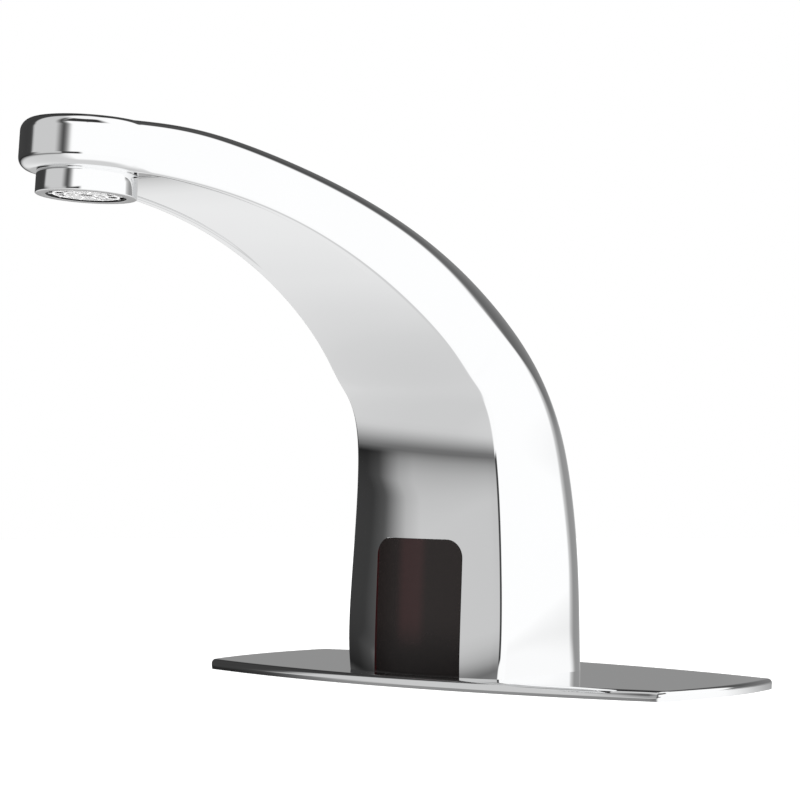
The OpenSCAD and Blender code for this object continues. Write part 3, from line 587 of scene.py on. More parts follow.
class Station(NamedTuple):
    """Sizes of the body at one place of its length, in millimetres."""

    inner_y: float
    inner_z: float
    outer_y: float
    outer_z: float
    half_w: float
    back_r: float
    bow: float

    def depth(self) -> float:
        """Distance from the inner line to the outer one."""
        return math.hypot(self.outer_y - self.inner_y, self.outer_z - self.inner_z)

    def bulge(self, x: float) -> float:
        """How far the bowed inner face stands out beyond its edges."""
        return self.bow * (1 - (x / self.half_w) ** 2)


@dataclass
class SpoutLines:
    """Stations of the cast body from the foot of its column to the outlet's axis."""

    plate_t: float = 2.8
    column_w: float = 53.8
    column_front: float = 25.4
    column_back: float = 19.1
    front_bow: float = 4.5
    column_back_r: float = 13.7
    spout_reach: float = 153.5
    outlet_h: float = 126.5
    outlet_tilt: float = 5.4
    arm_w: float = 34.0
    head_h: float = 12.5
    head_top_r: float = 3.2
    head_bottom_r: float = 3.0
    lip_r: float = 1.6
    arm_lip_r: float = 1.0
    lip_w: float = 2.6
    hollow_edge_r: float = 0.6
    panel_d: float = 0.5
    panel_step: float = 0.7
    collar_h: float = 5.5
    lip_shares: Pair = (0.3, 0.5)
    head_edge_share: float = 0.965
    panel_shares: tuple[float, float, float, float] = (0.62, 0.7, 0.93, 0.955)
    crease_w: float = 0.12
    panel_points: int = 20
    step_points: int = 6
    lip_points: int = 9
    back_points: int = 18
    side_places: tuple[float, ...] = (0.02, 0.25, 0.5, 0.75, 0.98)
    back_places: tuple[float, ...] = (0.98, 0.7, 0.35, 0.0)
    station_shares: tuple[tuple[float, ...], ...] = (
        (0, 0, 0, 0, 0.99, 1, 1),
        (0, 0.096, 0.019, 0.24, 1.136, 0.95, 1),
        (-0.027, 0.538, 0.016, 0.424, 0.73, 0.87, 0.95),
        (0.061, 0.609, 0.11, 0.616, 0.761, 0.65, 0.6),
        (0.123, 0.692, 0.291, 0.782, 0.597, 0.43, 0.2),
        (0.32, 0.832, 0.463, 0.88, 0.288, 0.22, 0),
        (0.578, 0.94, 0.634, 0.944, 0.093, 0.13, 0),
        (0.839, 0.988, 0.854, 0.999, 0.03, 0.04, 0),
        (1, 1, 1, 1, 0, 0, 0),
    )

    def on_axis(self, height: float) -> Pair:
        """Point on the outlet's axis.

        Args:
            height: Its height above the outlet's rim.

        Returns:
            The point as (y, z).
        """
        tilt = math.radians(self.outlet_tilt)
        return (height * math.sin(tilt) - self.spout_reach,
                height * math.cos(tilt) + self.outlet_h)

    def outlet_place(self) -> Matrix:
        """Placement of the outlet's axis, with its rim at zero height, in millimetres."""
        return (Matrix.Translation((0, -self.spout_reach, self.outlet_h))
                @ Matrix.Rotation(math.radians(-self.outlet_tilt), 4, "X"))

    @staticmethod
    def ease(share: float, start: float, end: float) -> float:
        """Smooth step from 0 to 1 between two shares."""
        f = min(max((share - start) / (end - start), 0), 1)
        return f * f * (3 - 2 * f)

    def station(self, share: float) -> Station:
        """Sizes of the body at a share of its length, on a cubic B-spline through the stations.

        Args:
            share: From 0 at the foot to 1 at the outlet's axis.

        Returns:
            The sizes.
        """
        rows = np.array(self.station_shares, float)
        last = len(rows) - 1
        i = min(int(share * last), last - 1)
        f = share * last - i
        before = rows[i - 1] if i else 2 * rows[0] - rows[1]
        after = rows[i + 2] if i < last - 1 else 2 * rows[last] - rows[last - 1]
        s = ((1 - f) ** 3 * before + (3 * f ** 3 - 6 * f ** 2 + 4) * rows[i]
             + (-3 * f ** 3 + 3 * f ** 2 + 3 * f + 1) * rows[i + 1] + f ** 3 * after) / 6
        inner, outer = self.on_axis(self.collar_h), self.on_axis(self.collar_h + self.head_h)
        return Station(
            -self.column_front + s[0] * (inner[0] + self.column_front),
            self.plate_t + s[1] * (inner[1] - self.plate_t),
            self.column_back + s[2] * (outer[0] - self.column_back),
            self.plate_t + s[3] * (outer[1] - self.plate_t),
            self.arm_w / 2 + s[4] * (self.column_w - self.arm_w) / 2,
            self.head_top_r + s[5] * (self.column_back_r - self.head_top_r),
            s[6] * self.front_bow,
        )

    def station_at(self, height: float, halvings: int = 30) -> Station:
        """Sizes of the body where the column's front stands at a height.

        Args:
            height: The height.
            halvings: How often the search halves its span.

        Returns:
            The sizes.
        """
        low, high = 0.0, 0.5
        for _ in range(halvings):
            middle = (low + high) / 2
            if self.station(middle).inner_z < height:
                low = middle
            else:
                high = middle
        return self.station((low + high) / 2)

    def edge_radius(self, share: float) -> float:
        """Radius between the inner face and the sides, at a share of the length."""
        lip_r = self.lip_r + (self.arm_lip_r - self.lip_r) * self.ease(share, *self.lip_shares)
        return lip_r + (self.head_bottom_r - lip_r) * self.ease(share, self.head_edge_share, 1)

    def half_outline(self, share: float, inset: float) -> Outline:
        """Right half of a section, from the middle of its inner face to that of its outer face.

        Args:
            share: Share of the way along the body.
            inset: How far the outline is drawn in.

        Returns:
            Points as (x, distance from the inner line).
        """
        here = self.station(share)
        start, full, fade, end = self.panel_shares
        sunk = 0.0 if inset else self.panel_d * self.ease(share, start, full) * (
            1 - self.ease(share, fade, end))
        r = max(self.edge_radius(share) - inset, self.hollow_edge_r)
        w = here.half_w - inset
        slope = math.atan(2 * here.bow * (w - r) / here.half_w ** 2)
        panel = w - max(self.lip_w, r + self.panel_step) - self.panel_step

        def face(x: float, drop: float) -> Pair:
            """Point of the bowed inner face, sunk by a drop."""
            return x, inset + drop - here.bulge(x)

        out = [face(panel * k / self.panel_points, sunk) for k in range(self.panel_points)]
        out.append(face(panel - self.crease_w, sunk))
        for k in range(self.step_points + 1):
            f = k / self.step_points
            out.append(face(panel + self.panel_step * f, sunk * (1 - self.ease(f, 0, 1))))
        edge_x = w - r + r * math.sin(slope)
        out.append(face(edge_x - self.crease_w, 0))
        edge_y = face(edge_x, 0)[1] + r * math.cos(slope)
        out += arc((w - r, edge_y), r, slope - QUARTER, 0.0, self.lip_points)
        back_r = here.back_r - inset
        outer = here.depth() - inset
        high = outer - back_r
        out += [(w, edge_y + (high - edge_y) * f) for f in self.side_places]
        out += arc((w - back_r, high), back_r, 0.0, QUARTER, self.back_points)
        return out + [((w - back_r) * f, outer) for f in self.back_places]

    def section(self, share: float, inset: float) -> Ring:
        """Closed ring in space of the section at a share.

        Args:
            share: Share of the way along the body.
            inset: How far the section is drawn in.

        Returns:
            Points of the ring.
        """
        here = self.station(share)
        run_y = (here.outer_y - here.inner_y) / here.depth()
        run_z = (here.outer_z - here.inner_z) / here.depth()
        half = self.half_outline(share, inset)
        flat = half + [(-x, t) for x, t in reversed(half[1:-1])]
        return [(x, here.inner_y + run_y * t, here.inner_z + run_z * t) for x, t in flat]


# Sub-assemblies


@dataclass
class CastBody:
    """Chrome body: column, arm and round head, with its hollow, window opening and socket."""

    lines: SpoutLines
    finish: Chrome
    wall: float = 2.5
    rings: int = 230
    nose_steps: int = 72
    hollow_rings: int = 60
    hollow_end_share: float = 0.9
    window_w: float = 29.8
    window_top: float = 39.8
    window_corner_r: float = 5.0
    window_steps: int = 14
    window_reach: Pair = (12.0, 6.0)
    gap: float = 0.05
    overrun: float = 1.0
    shank_r: float = 11.05
    shank_top: float = 11.0
    chamber_r: float = 8.6
    chamber_top: float = 15.4
    bore_steps: int = 96
    sharp_deg: float = 30.0

    def outer(self) -> bpy.types.Object:
        """Builds the closed outer form, its nose welded to its arm.

        Returns:
            The object.
        """
        lines = self.lines
        shares = [i / (self.rings - 1) for i in range(self.rings)]
        points, faces = skin([lines.section(s, 0) for s in shares], True, False)
        half = lines.half_outline(1, 0)
        place = lines.outlet_place()
        nose = [
            tuple(place @ Vector((x * across, x * ahead, lines.collar_h + t)))
            for across, ahead in arc((0, 0), 1, 0.0, -math.pi, self.nose_steps) for x, t in half]
        base, rows = len(points), len(half)
        points = np.vstack([points, np.array(nose)])
        for first in range(base, base + self.nose_steps * rows, rows):
            for a in range(first, first + rows - 1):
                faces.append((a, a + rows, a + rows + 1, a + 1))
        return mesh_object("spout_body_skin", points, faces)

    def hollow(self) -> bpy.types.Object:
        """Builds the closed form of the hollow inside, reaching out of the foot.

        Returns:
            The object.
        """
        last = self.hollow_rings - 1
        shares = [self.hollow_end_share * i / last for i in range(self.hollow_rings)]
        first = [(x, y, z - self.overrun) for x, y, z in self.lines.section(0, self.wall)]
        points, faces = skin([first] + [self.lines.section(s, self.wall) for s in shares])
        return mesh_object("hollow_tool", points, faces)

    def window_tool(self) -> bpy.types.Object:
        """Builds the prism that opens the window.

        Returns:
            The object.
        """
        half, top = self.window_w / 2 + self.gap, self.window_top + self.gap
        radius, foot = self.window_corner_r + self.gap, self.lines.plate_t - self.overrun
        outline = [(-half, foot), (half, foot)]
        for side, start in ((1, 0.0), (-1, QUARTER)):
            outline += arc((side * (half - radius), top - radius), radius, start, start + QUARTER,
                           self.window_steps)
        front, back = self.window_reach
        depths = (-self.lines.column_front - front, -self.lines.column_front + back)
        points, faces = skin([[(x, y, z) for x, z in outline] for y in depths])
        return mesh_object("window_tool", points, faces)

    def outlet_tools(self) -> list[bpy.types.Object]:
        """Builds the round tools for the collar's socket and the chamber above it.

        Returns:
            The two objects.
        """
        place = self.lines.outlet_place()
        bores = (
            ("socket_tool", self.shank_r, self.lines.collar_h - self.overrun, self.shank_top),
            ("chamber_tool", self.chamber_r, self.shank_top - self.overrun, self.chamber_top))
        tools = []
        for name, radius, low, high in bores:
            points, faces = skin([
                [tuple(place @ Vector((x, y, h))) for x, y in circle(radius, self.bore_steps)]
                for h in (low, high)])
            tools.append(mesh_object(name, points, faces))
        return tools

    def build(self) -> bpy.types.Object:
        """Builds and dresses the body.

        Returns:
            The finished object.
        """
        body = self.outer()
        cut(body, [self.hollow(), self.window_tool(), *self.outlet_tools()], self.sharp_deg)
        keep_inside(body, "spout_body")
        body.data.materials.clear()
        body.data.materials.append(self.finish.material())
        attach(body, "tap")
        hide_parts("spout_body")
        return body


@dataclass
class DeckPlate:
    """Pressed cover plate: bowed outline, turned edge, hollow underside, round opening."""

    finish: Chrome
    length: float = 160.0
    end_bow: float = 3.3
    end_depth: float = 51.0
    side_bow: float = 11.2
    corner_r: float = 4.0
    thickness: float = 2.8
    sheet: float = 1.2
    edge_r: float = 2.0
    rim: float = 2.4
    hole_r: float = 15.8
    hole_land: float = 1.01
    top_land: float = 0.1
    lean: float = 0.008
    end_edge_r: float = 1.2
    end_lean: float = 0.13
    end_reach: float = 2.5
    foot_h: float = 0.05
    wall_gap: float = 0.03
    least_corner_r: float = 0.05
    end_steps: int = 14
    corner_steps: int = 16
    side_steps: int = 40
    edge_steps: int = 12
    sharp_deg: float = 35.0

    def outline(self, inset: float) -> Outline:
        """Outline of the plate, drawn in by an inset.

        Args:
            inset: How far it is drawn in.

        Returns:
            Points as (x, y), counterclockwise.
        """
        side_r = ((self.length / 2) ** 2 + self.side_bow ** 2) / (2 * self.side_bow)
        end_r = ((self.end_depth / 2) ** 2 + self.end_bow ** 2) / (2 * self.end_bow)
        side_at = Vector((0, self.end_depth / 2 + self.side_bow - side_r))
        end_at = Vector((self.length / 2 + self.end_bow - end_r, 0))
        gap = end_at - side_at
        ra, rb = side_r - self.corner_r, end_r - self.corner_r
        along = (gap.length ** 2 + ra ** 2 - rb ** 2) / (2 * gap.length)
        way = gap.normalized()
        corner = side_at + way * along + Vector((way.y, -way.x)) * math.sqrt(ra ** 2 - along ** 2)
        side_turn = math.atan2(*reversed(corner - side_at))
        end_turn = math.atan2(*reversed(corner - end_at))
        corner_r = max(self.corner_r - inset, self.least_corner_r)
        quarter: Outline = []
        for at, r, start, end, steps in (
                (end_at, end_r - inset, 0.0, end_turn, self.end_steps),
                (corner, corner_r, end_turn, side_turn, self.corner_steps),
                (side_at, side_r - inset, side_turn, QUARTER, self.side_steps)):
            quarter += arc(at, r, start, end, steps)[:-1]
        upper = (quarter + [(0, self.end_depth / 2 + self.side_bow - inset)]
                 + [(-x, y) for x, y in reversed(quarter)])
        return upper + [(x, -y) for x, y in reversed(upper[1:-1])]

    def edge_profile(self, x: float) -> Outline:
        """Outer edge from its foot to the top, sharper along the plate's ends than its sides.

        Args:
            x: Place along the plate.

        Returns:
            Points as (inset, height).
        """
        end = min(max((abs(x) - self.length / 2 + self.end_reach) / self.end_reach, 0), 1)
        radius = self.edge_r + (self.end_edge_r - self.edge_r) * end
        lean = self.lean + (self.end_lean - self.lean) * end
        shoulder = self.thickness - radius
        return [(lean, 0.0), (lean, self.foot_h), (0.0, shoulder - self.wall_gap),
                *arc((radius, shoulder), radius, math.pi, QUARTER, self.edge_steps)]

    def build(self) -> bpy.types.Object:
        """Builds and dresses the plate.

        Returns:
            The finished object.
        """
        top, under = self.thickness, self.thickness - self.sheet
        rim = self.outline(self.rim)
        columns = [
            [(x + (in_x - x) * inset, y + (in_y - y) * inset, z)
             for inset, z in self.edge_profile(x)]
            for (x, y), (in_x, in_y) in zip(self.outline(0), self.outline(1))]
        rings = [[(x, y, 0.0) for x, y in rim], *zip(*columns)]
        rings.append([(x, y, top) for x, y in self.outline(self.edge_r + self.top_land)])
        headings = [math.atan2(p[1], p[0]) for p in rings[-1]]
        hole = [(self.hole_r * math.cos(a), self.hole_r * math.sin(a)) for a in headings]
        wide = [(self.hole_land * x, self.hole_land * y) for x, y in hole]
        for outline, z in ((wide, top), (hole, top), (hole, under), (rim, under), (rim, 0.0)):
            rings.append([(x, y, z) for x, y in outline])
        points, faces = skin(rings, False, False)
        plate = mesh_object("deck_plate_skin", points, faces, self.sharp_deg)
        plate.data.materials.append(self.finish.material())
        plate.visible_glossy = False
        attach(plate, "tap")
        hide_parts("deck_plate")
        return plate


@dataclass
class SensorWindow:
    """Smoked window that lies flush in the body's bowed front."""

    lines: SpoutLines
    finish: SmokedWindow
    half_w: float = 14.85
    top: float = 39.75
    corner_r: float = 4.95
    thickness: float = 2.0
    flush: float = 0.06
    straight_rows: int = 40
    corner_rows: int = 20
    columns: int = 40
    soft_w: float = 0.12
    soft_steps: int = 3
    soft_deg: float = 50.0
    sharp_deg: float = 35.0

    def build(self) -> bpy.types.Object:
        """Builds and dresses the window.

        Returns:
            The finished object.
        """
        bottom, shoulder = self.lines.plate_t, self.top - self.corner_r
        heights = [bottom + (shoulder - bottom) * k / self.straight_rows
                   for k in range(self.straight_rows)]
        heights += [self.top - self.corner_r * (1 - math.sin(QUARTER * k / self.corner_rows))
                    for k in range(self.corner_rows + 1)]
        rings = []
        for z in heights:
            rise = max(z - shoulder, 0)
            half = self.half_w - self.corner_r + math.sqrt(max(self.corner_r ** 2 - rise ** 2, 0))
            here = self.lines.station_at(z)
            front, back = (
                [(x, here.inner_y - here.bulge(x) + depth, z)
                 for x in (half * c / self.columns for c in range(-self.columns, self.columns + 1))]
                for depth in (self.flush, self.thickness))
            rings.append(front + back[::-1])
        points, faces = skin(rings, False, False)
        count = len(rings[0])
        for first in (0, (len(rings) - 1) * count):
            last = first + count - 1
            faces += [(first + c, first + c + 1, last - 1 - c, last - c)
                      for c in range(2 * self.columns)]
        window = mesh_object("sensor_window_pane", points, faces, self.sharp_deg)
        soften(window, self.soft_w, self.soft_steps, self.soft_deg)
        window.data.materials.append(self.finish.material())
        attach(window, "tap")
        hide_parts("sensor_window")
        return window


@dataclass
class Outlet:
    """Chrome collar with the ring-and-spoke grille in its bore."""

    lines: SpoutLines
    collar_finish: Chrome
    # painted shade: darker grey metal on the collar's downward face, in place of its chrome
    painted_shade_rim_finish: Finish
    grille_finish: Finish
    # painted shade: near-black finish of the bore and of the ring against it, standing in for the
    # shade inside the outlet
    bore_shade_finish: Finish
    collar_r: float = 12.35
    collar_h: float = 5.5
    rim_edge_r: float = 0.3
    seat_edge_r: float = 0.08
    bore_r: float = 9.75
    bore_edge_r: float = 0.15
    shank_r: float = 11.0
    shank_h: float = 4.3
    shank_edge_r: float = 0.1
    ledge_t: float = 1.5
    ledge_r: float = 8.6
    open_rings: int = 3
    open_share: float = 0.84
    spoke_count: int = 10
    shade_ring_h: float = 1.4
    bar: float = 0.5
    bar_h: float = 0.35
    grille_z: float = 0.25
    grille_gap: float = 0.05
    turned_steps: int = 128
    ring_steps: int = 96
    spoke_height_share: float = 0.6
    spoke_sunk_share: float = 0.6
    sharp_deg: float = 30.0

    def build_collar(self) -> bpy.types.Object:
        """Turns the collar with its softened rim.

        Returns:
            The finished object.
        """
        top = self.collar_h + self.shank_h
        profile = rounded([
            (self.bore_r, 0, self.bore_edge_r), (self.collar_r, 0, self.rim_edge_r),
            (self.collar_r, self.collar_h, self.seat_edge_r), (self.shank_r, self.collar_h, 0),
            (self.shank_r, top, self.shank_edge_r), (self.ledge_r, top, 0),
            (self.ledge_r, top - self.ledge_t, 0), (self.bore_r, top - self.ledge_t, 0)])
        place = self.lines.outlet_place()
        collar = lathe("aerator_collar", profile, self.turned_steps, place, self.sharp_deg)
        finishes = (self.collar_finish, self.painted_shade_rim_finish, self.bore_shade_finish)
        for finish in finishes:
            collar.data.materials.append(finish.material())
        to_local = place.inverted()
        for face in collar.data.polygons:
            spot = to_local @ (face.center / MM)
            if spot.z < TOUCH:
                # painted shade: the collar's downward face takes the darker grey metal
                face.material_index = finishes.index(self.painted_shade_rim_finish)
            # painted shade: the bore's faces below the ledge take the near-black finish in place of
            # chrome
            elif spot.xy.length < self.bore_r + TOUCH and spot.z < top - self.ledge_t:
                face.material_index = finishes.index(self.bore_shade_finish)
        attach(collar, "tap")
        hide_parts("aerator_housing")
        return collar

    def grille_tree(self, bars: bpy.types.Material, bore_shade: bpy.types.Material) -> bpy.types.NodeTree:
        """Builds the node tree that lays concentric rings and radial spokes in a near-black ring
        against the bore, which is painted shade.

        Args:
            bars: The material of the rings and spokes.
            bore_shade: The material of the ring against the bore, painted near-black as the shade in
                the bore.

        Returns:
            The tree, with named inputs for its sizes.
        """
        tree = bpy.data.node_groups.new("ring_and_spoke_grille", "GeometryNodeTree")
        for name in ("Rings", "Spokes"):
            tree.interface.new_socket(name=name, in_out="INPUT", socket_type="NodeSocketInt")
        for name in ("Outer Radius", "Hub Radius", "Bore Radius", "Shade Ring Height", "Bar Width",
                     "Bar Height"):
            tree.interface.new_socket(name=name, in_out="INPUT", socket_type="NodeSocketFloat")
        tree.interface.new_socket(
            name="Geometry", in_out="OUTPUT", socket_type="NodeSocketGeometry")
        graph = Graph(tree)
        given = graph.add("NodeGroupInput").outputs
        hub, bore, width = given["Hub Radius"], given["Bore Radius"], given["Bar Width"]
        height, shade_ring_h = given["Bar Height"], given["Shade Ring Height"]
        index = graph.add("GeometryNodeInputIndex").outputs[0]

        def hoop(radius: object) -> Socket:
            """Closed circular curve of a radius."""
            return graph.add("GeometryNodeCurvePrimitiveCircle", {
                "Resolution": self.ring_steps, "Radius": radius}).outputs[0]

        def scatter(count: Socket, piece: Socket, **how: Socket) -> Socket:
            """Sets copies of a piece, each turned or sized by its number.

            Args:
                count: How many copies.
                piece: The piece.
                how: Their rotation or their scale.

            Returns:
                The copies.
            """
            points = graph.add("GeometryNodePoints", {"Count": count}).outputs[0]
            return graph.add("GeometryNodeInstanceOnPoints", {
                "Points": points, "Instance": piece, **how}).outputs[0]

        def sweep(curves: Socket, tall: Socket) -> Socket:
            """Lays bars along curves.

            Args:
                curves: The curves.
                tall: Height of the bars.

            Returns:
                The bars.
            """
            section = graph.add("GeometryNodeCurvePrimitiveQuadrilateral",
                                {"Width": width, "Height": tall}).outputs[0]
            real = graph.add("GeometryNodeRealizeInstances", {0: curves}).outputs[0]
            upright = graph.add("GeometryNodeSetCurveNormal", {0: real})
            set_choice(upright, "Z_UP")
            return graph.add("GeometryNodeCurveToMesh", {
                "Curve": upright.outputs[0], "Profile Curve": section,
                "Fill Caps": True}).outputs[0]

        pitch = graph.math("DIVIDE", graph.minus(given["Outer Radius"], hub),
                           graph.minus(given["Rings"], 1.0))
        radius = graph.minus(graph.math("ADD", hub, graph.product(index, pitch)),
                             graph.product(width, 0.5))
        size = graph.vector(X=radius, Y=radius, Z=radius)
        rings = scatter(given["Rings"], hoop(1.0), Scale=size)
        spoke = graph.add("GeometryNodeCurvePrimitiveLine", {
            "Start": graph.vector(X=graph.minus(hub, width)),
            "End": graph.vector(X=graph.minus(
                bore, graph.product(width, self.spoke_sunk_share)))}).outputs[0]
        turn = graph.math("DIVIDE", graph.product(index, FULL_TURN), given["Spokes"])
        rotation = graph.add("FunctionNodeEulerToRotation", {0: graph.vector(Z=turn)}).outputs[0]
        spokes = scatter(given["Spokes"], spoke, Rotation=rotation)
        # painted shade: a near-black ring laid against the bore
        wall = sweep(hoop(graph.minus(bore, graph.product(width, 0.5))), shade_ring_h)
        drop = graph.vector(Z=graph.product(graph.minus(height, shade_ring_h), 0.5))
        spoke_h = graph.product(height, self.spoke_height_share)
        low_rings, low_spokes = (
            graph.add("GeometryNodeTransform", {"Geometry": mesh, "Translation": drop}).outputs[0]
            for mesh in (sweep(rings, height), sweep(spokes, spoke_h)))
        join = graph.add("GeometryNodeJoinGeometry")
        for mesh, material in ((wall, bore_shade), (low_spokes, bars), (low_rings, bars)):
            real = graph.add("GeometryNodeRealizeInstances", {0: mesh}).outputs[0]
            dressed = graph.add("GeometryNodeSetMaterial", {0: real, "Material": material})
            tree.links.new(dressed.outputs[0], join.inputs[0])
        graph.add("NodeGroupOutput", {0: join.outputs[0]})
        return tree

    def build_grille(self) -> bpy.types.Object:
        """Makes the grille with Geometry Nodes and sets it in the bore.

        Returns:
            The finished object.
        """
        tree = self.grille_tree(self.grille_finish.material(), self.bore_shade_finish.material())
        bore = (self.bore_r - self.grille_gap) * MM
        outer = bore * self.open_share
        grille = generated("aerator_grille_bars", tree, {
            "Rings": self.open_rings, "Spokes": self.spoke_count, "Outer Radius": outer,
            "Hub Radius": outer / self.open_rings, "Bore Radius": bore,
            "Shade Ring Height": self.shade_ring_h * MM, "Bar Width": self.bar * MM,
            "Bar Height": self.bar_h * MM})
        middle = Matrix.Translation((0, 0, self.grille_z + self.shade_ring_h / 2))
        place = self.lines.outlet_place() @ middle
        place.translation *= MM
        grille.data.transform(place)
        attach(grille, "tap")
        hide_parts("aerator_grille")
        return grille


def set_choice(node: bpy.types.Node, choice: str) -> None:
    """Sets a node's mode, whether it is an attribute or a menu input.

    Args:
        node: The node.
        choice: The mode's name.
    """
    if hasattr(node, "mode"):
        node.mode = choice
    else:
        node.inputs["Mode"].default_value = choice


def generated(name: str, tree: bpy.types.NodeTree, values: dict,
              sharp_deg: float = 35) -> bpy.types.Object:
    """Runs a Geometry Nodes tree with given inputs and keeps its plain mesh.

    Args:
        name: Name of the object.
        tree: The node tree.
        values: Input values by socket name.
        sharp_deg: Edges that turn by more than this stay sharp.

    Returns:
        The object with its final mesh.
    """
    obj = bpy.data.objects.new(name, bpy.data.meshes.new(name))
    bpy.context.scene.collection.objects.link(obj)
    modifier = obj.modifiers.new("make", "NODES")
    modifier.node_group = tree
    for item in tree.interface.items_tree:
        if item.item_type == "SOCKET" and item.in_out == "INPUT" and item.name in values:
            modifier[item.identifier] = values[item.name]
    bake(obj)
    smooth(obj, sharp_deg)
    return obj


# Pieces inside


@dataclass
class Coil:
    """Coil spring wound in the box of its CAD node."""

    node: str
    moving: str
    turns: int
    wire_r: float = 0.25
    steps: int = 28
    sides: int = 10
    sharp_deg: float = 50.0

    def build(self, finish: Finish) -> bpy.types.Object:
        """Winds the spring in the box of its CAD node.

        Args:
            finish: The wire's finish.

        Returns:
            The finished object.
        """
        low, high = (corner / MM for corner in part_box(self.node))
        middle = (low + high) / 2
        coil_r = (high.y - low.y) / 2 - self.wire_r
        rise = high.z - low.z - 2 * self.wire_r
        count = self.turns * self.steps
        wire = circle(self.wire_r, self.sides)
        rings = []
        for i, (x, y) in enumerate(arc((0, 0), 1, 0.0, FULL_TURN * self.turns, count)):
            z = low.z + self.wire_r + rise * i / count
            rings.append([(middle.x + (coil_r + out) * x, middle.y + (coil_r + out) * y, z - up)
                          for out, up in wire])
        points, faces = skin(rings)
        coil = mesh_object(f"{self.node}_coil", points, faces, self.sharp_deg)
        coil.data.materials.append(finish.material())
        keep_inside(coil, self.node)
        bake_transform(coil)
        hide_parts(self.node)
        return coil


@dataclass
class Insides:
    """Finishes of the pieces that keep their own solids.

    The numbers of each finish are its roughness, metallic share, tone, noise cells and relief.
    """

    finishes: tuple[tuple[Finish, tuple[str, ...]], ...] = (
        (Finish("turned_brass", (0.66, 0.47, 0.2), 0.24, 1.0, 0.05, 1500, 0.05),
         ("outlet_adapter", "inlet_adapter")),
        (Finish("cast_zinc_grey", (0.4, 0.4, 0.39), 0.5, 1.0, 0.08, 700, 0.2), ("base_bracket",)),
        (Finish("bright_steel", (0.6, 0.61, 0.62), 0.22, 1.0, 0.04, 1600, 0.04),
         ("bracket_screws", "sensor_screws", "valve_screws", "tube_clips", "guide_tube",
          "inlet_filter")),
        (Finish("shaded_mesh", (0.03, 0.03, 0.03), 0.6, 0.0, 0.1, 1600, 0.1, specular=0.0),
         ("aerator_mesh", "flow_regulator")),
        (Finish("plated_iron", (0.34, 0.35, 0.37), 0.36, 1.0, 0.06, 1100, 0.08),
         ("plunger", "coil_frame", "latch_magnet")),
        (Finish("black_seal_rubber", (0.018, 0.018, 0.019), 0.72, 0.0, 0.15, 1500, 0.25),
         ("aerator_seal", "base_seal", "window_gasket", "inlet_seal", "valve_membrane",
          "plunger_seal", "deck_gasket")),
        (Finish("black_moulding", (0.022, 0.022, 0.024), 0.42, 0.0, 0.12, 1300, 0.12),
         ("sensor_housing", "board_parts", "power_socket")),
        (Finish("white_moulding", (0.74, 0.74, 0.71), 0.38, 0.0, 0.04, 900, 0.08),
         ("valve_body", "valve_cover", "coil_bobbin", "check_poppet", "diaphragm_plate")),
        (Finish("green_solder_mask", (0.012, 0.16, 0.05), 0.3, 0.0, 0.2, 2200, 0.06),
         ("sensor_board",)),
        (Finish("clear_hose", (0.72, 0.72, 0.68), 0.22, 0.0, 0.04, 500, 0.05), ("outlet_tube",)),
        (Finish("pale_lens", (0.5, 0.54, 0.62), 0.08, 0.0, 0.05, 800, 0.02), ("ir_emitter",)),
        (Finish("dark_lens", (0.015, 0.008, 0.025), 0.08, 0.0, 0.1, 800, 0.02), ("ir_receiver",)),
        (Finish("red_lens", (0.42, 0.012, 0.012), 0.12, 0.0, 0.08, 800, 0.02), ("status_led",)),
        (Finish("enamelled_copper", (0.55, 0.2, 0.07), 0.3, 1.0, 0.12, 2500, 0.3),
         ("coil_winding",)),
    )
    mirrored: tuple[str, ...] = ("aerator_mesh", "flow_regulator")

    def dress(self) -> None:
        """Gives each solid its finish; the chrome mirrors only what stands in the outlet."""
        for finish, nodes in self.finishes:
            material = finish.material()
            for name in nodes:
                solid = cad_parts[name]
                if not solid.data.materials:
                    solid.data.materials.append(material)
                for k in range(len(solid.material_slots)):
                    solid.material_slots[k].material = material
                solid.visible_glossy = name in self.mirrored
            LOG.info("%s on %s", finish.name, ", ".join(nodes))


# Studio


def grey(value: float) -> tuple[float, float, float, float]:
    """Opaque linear grey."""
    return value, value, value, 1.0


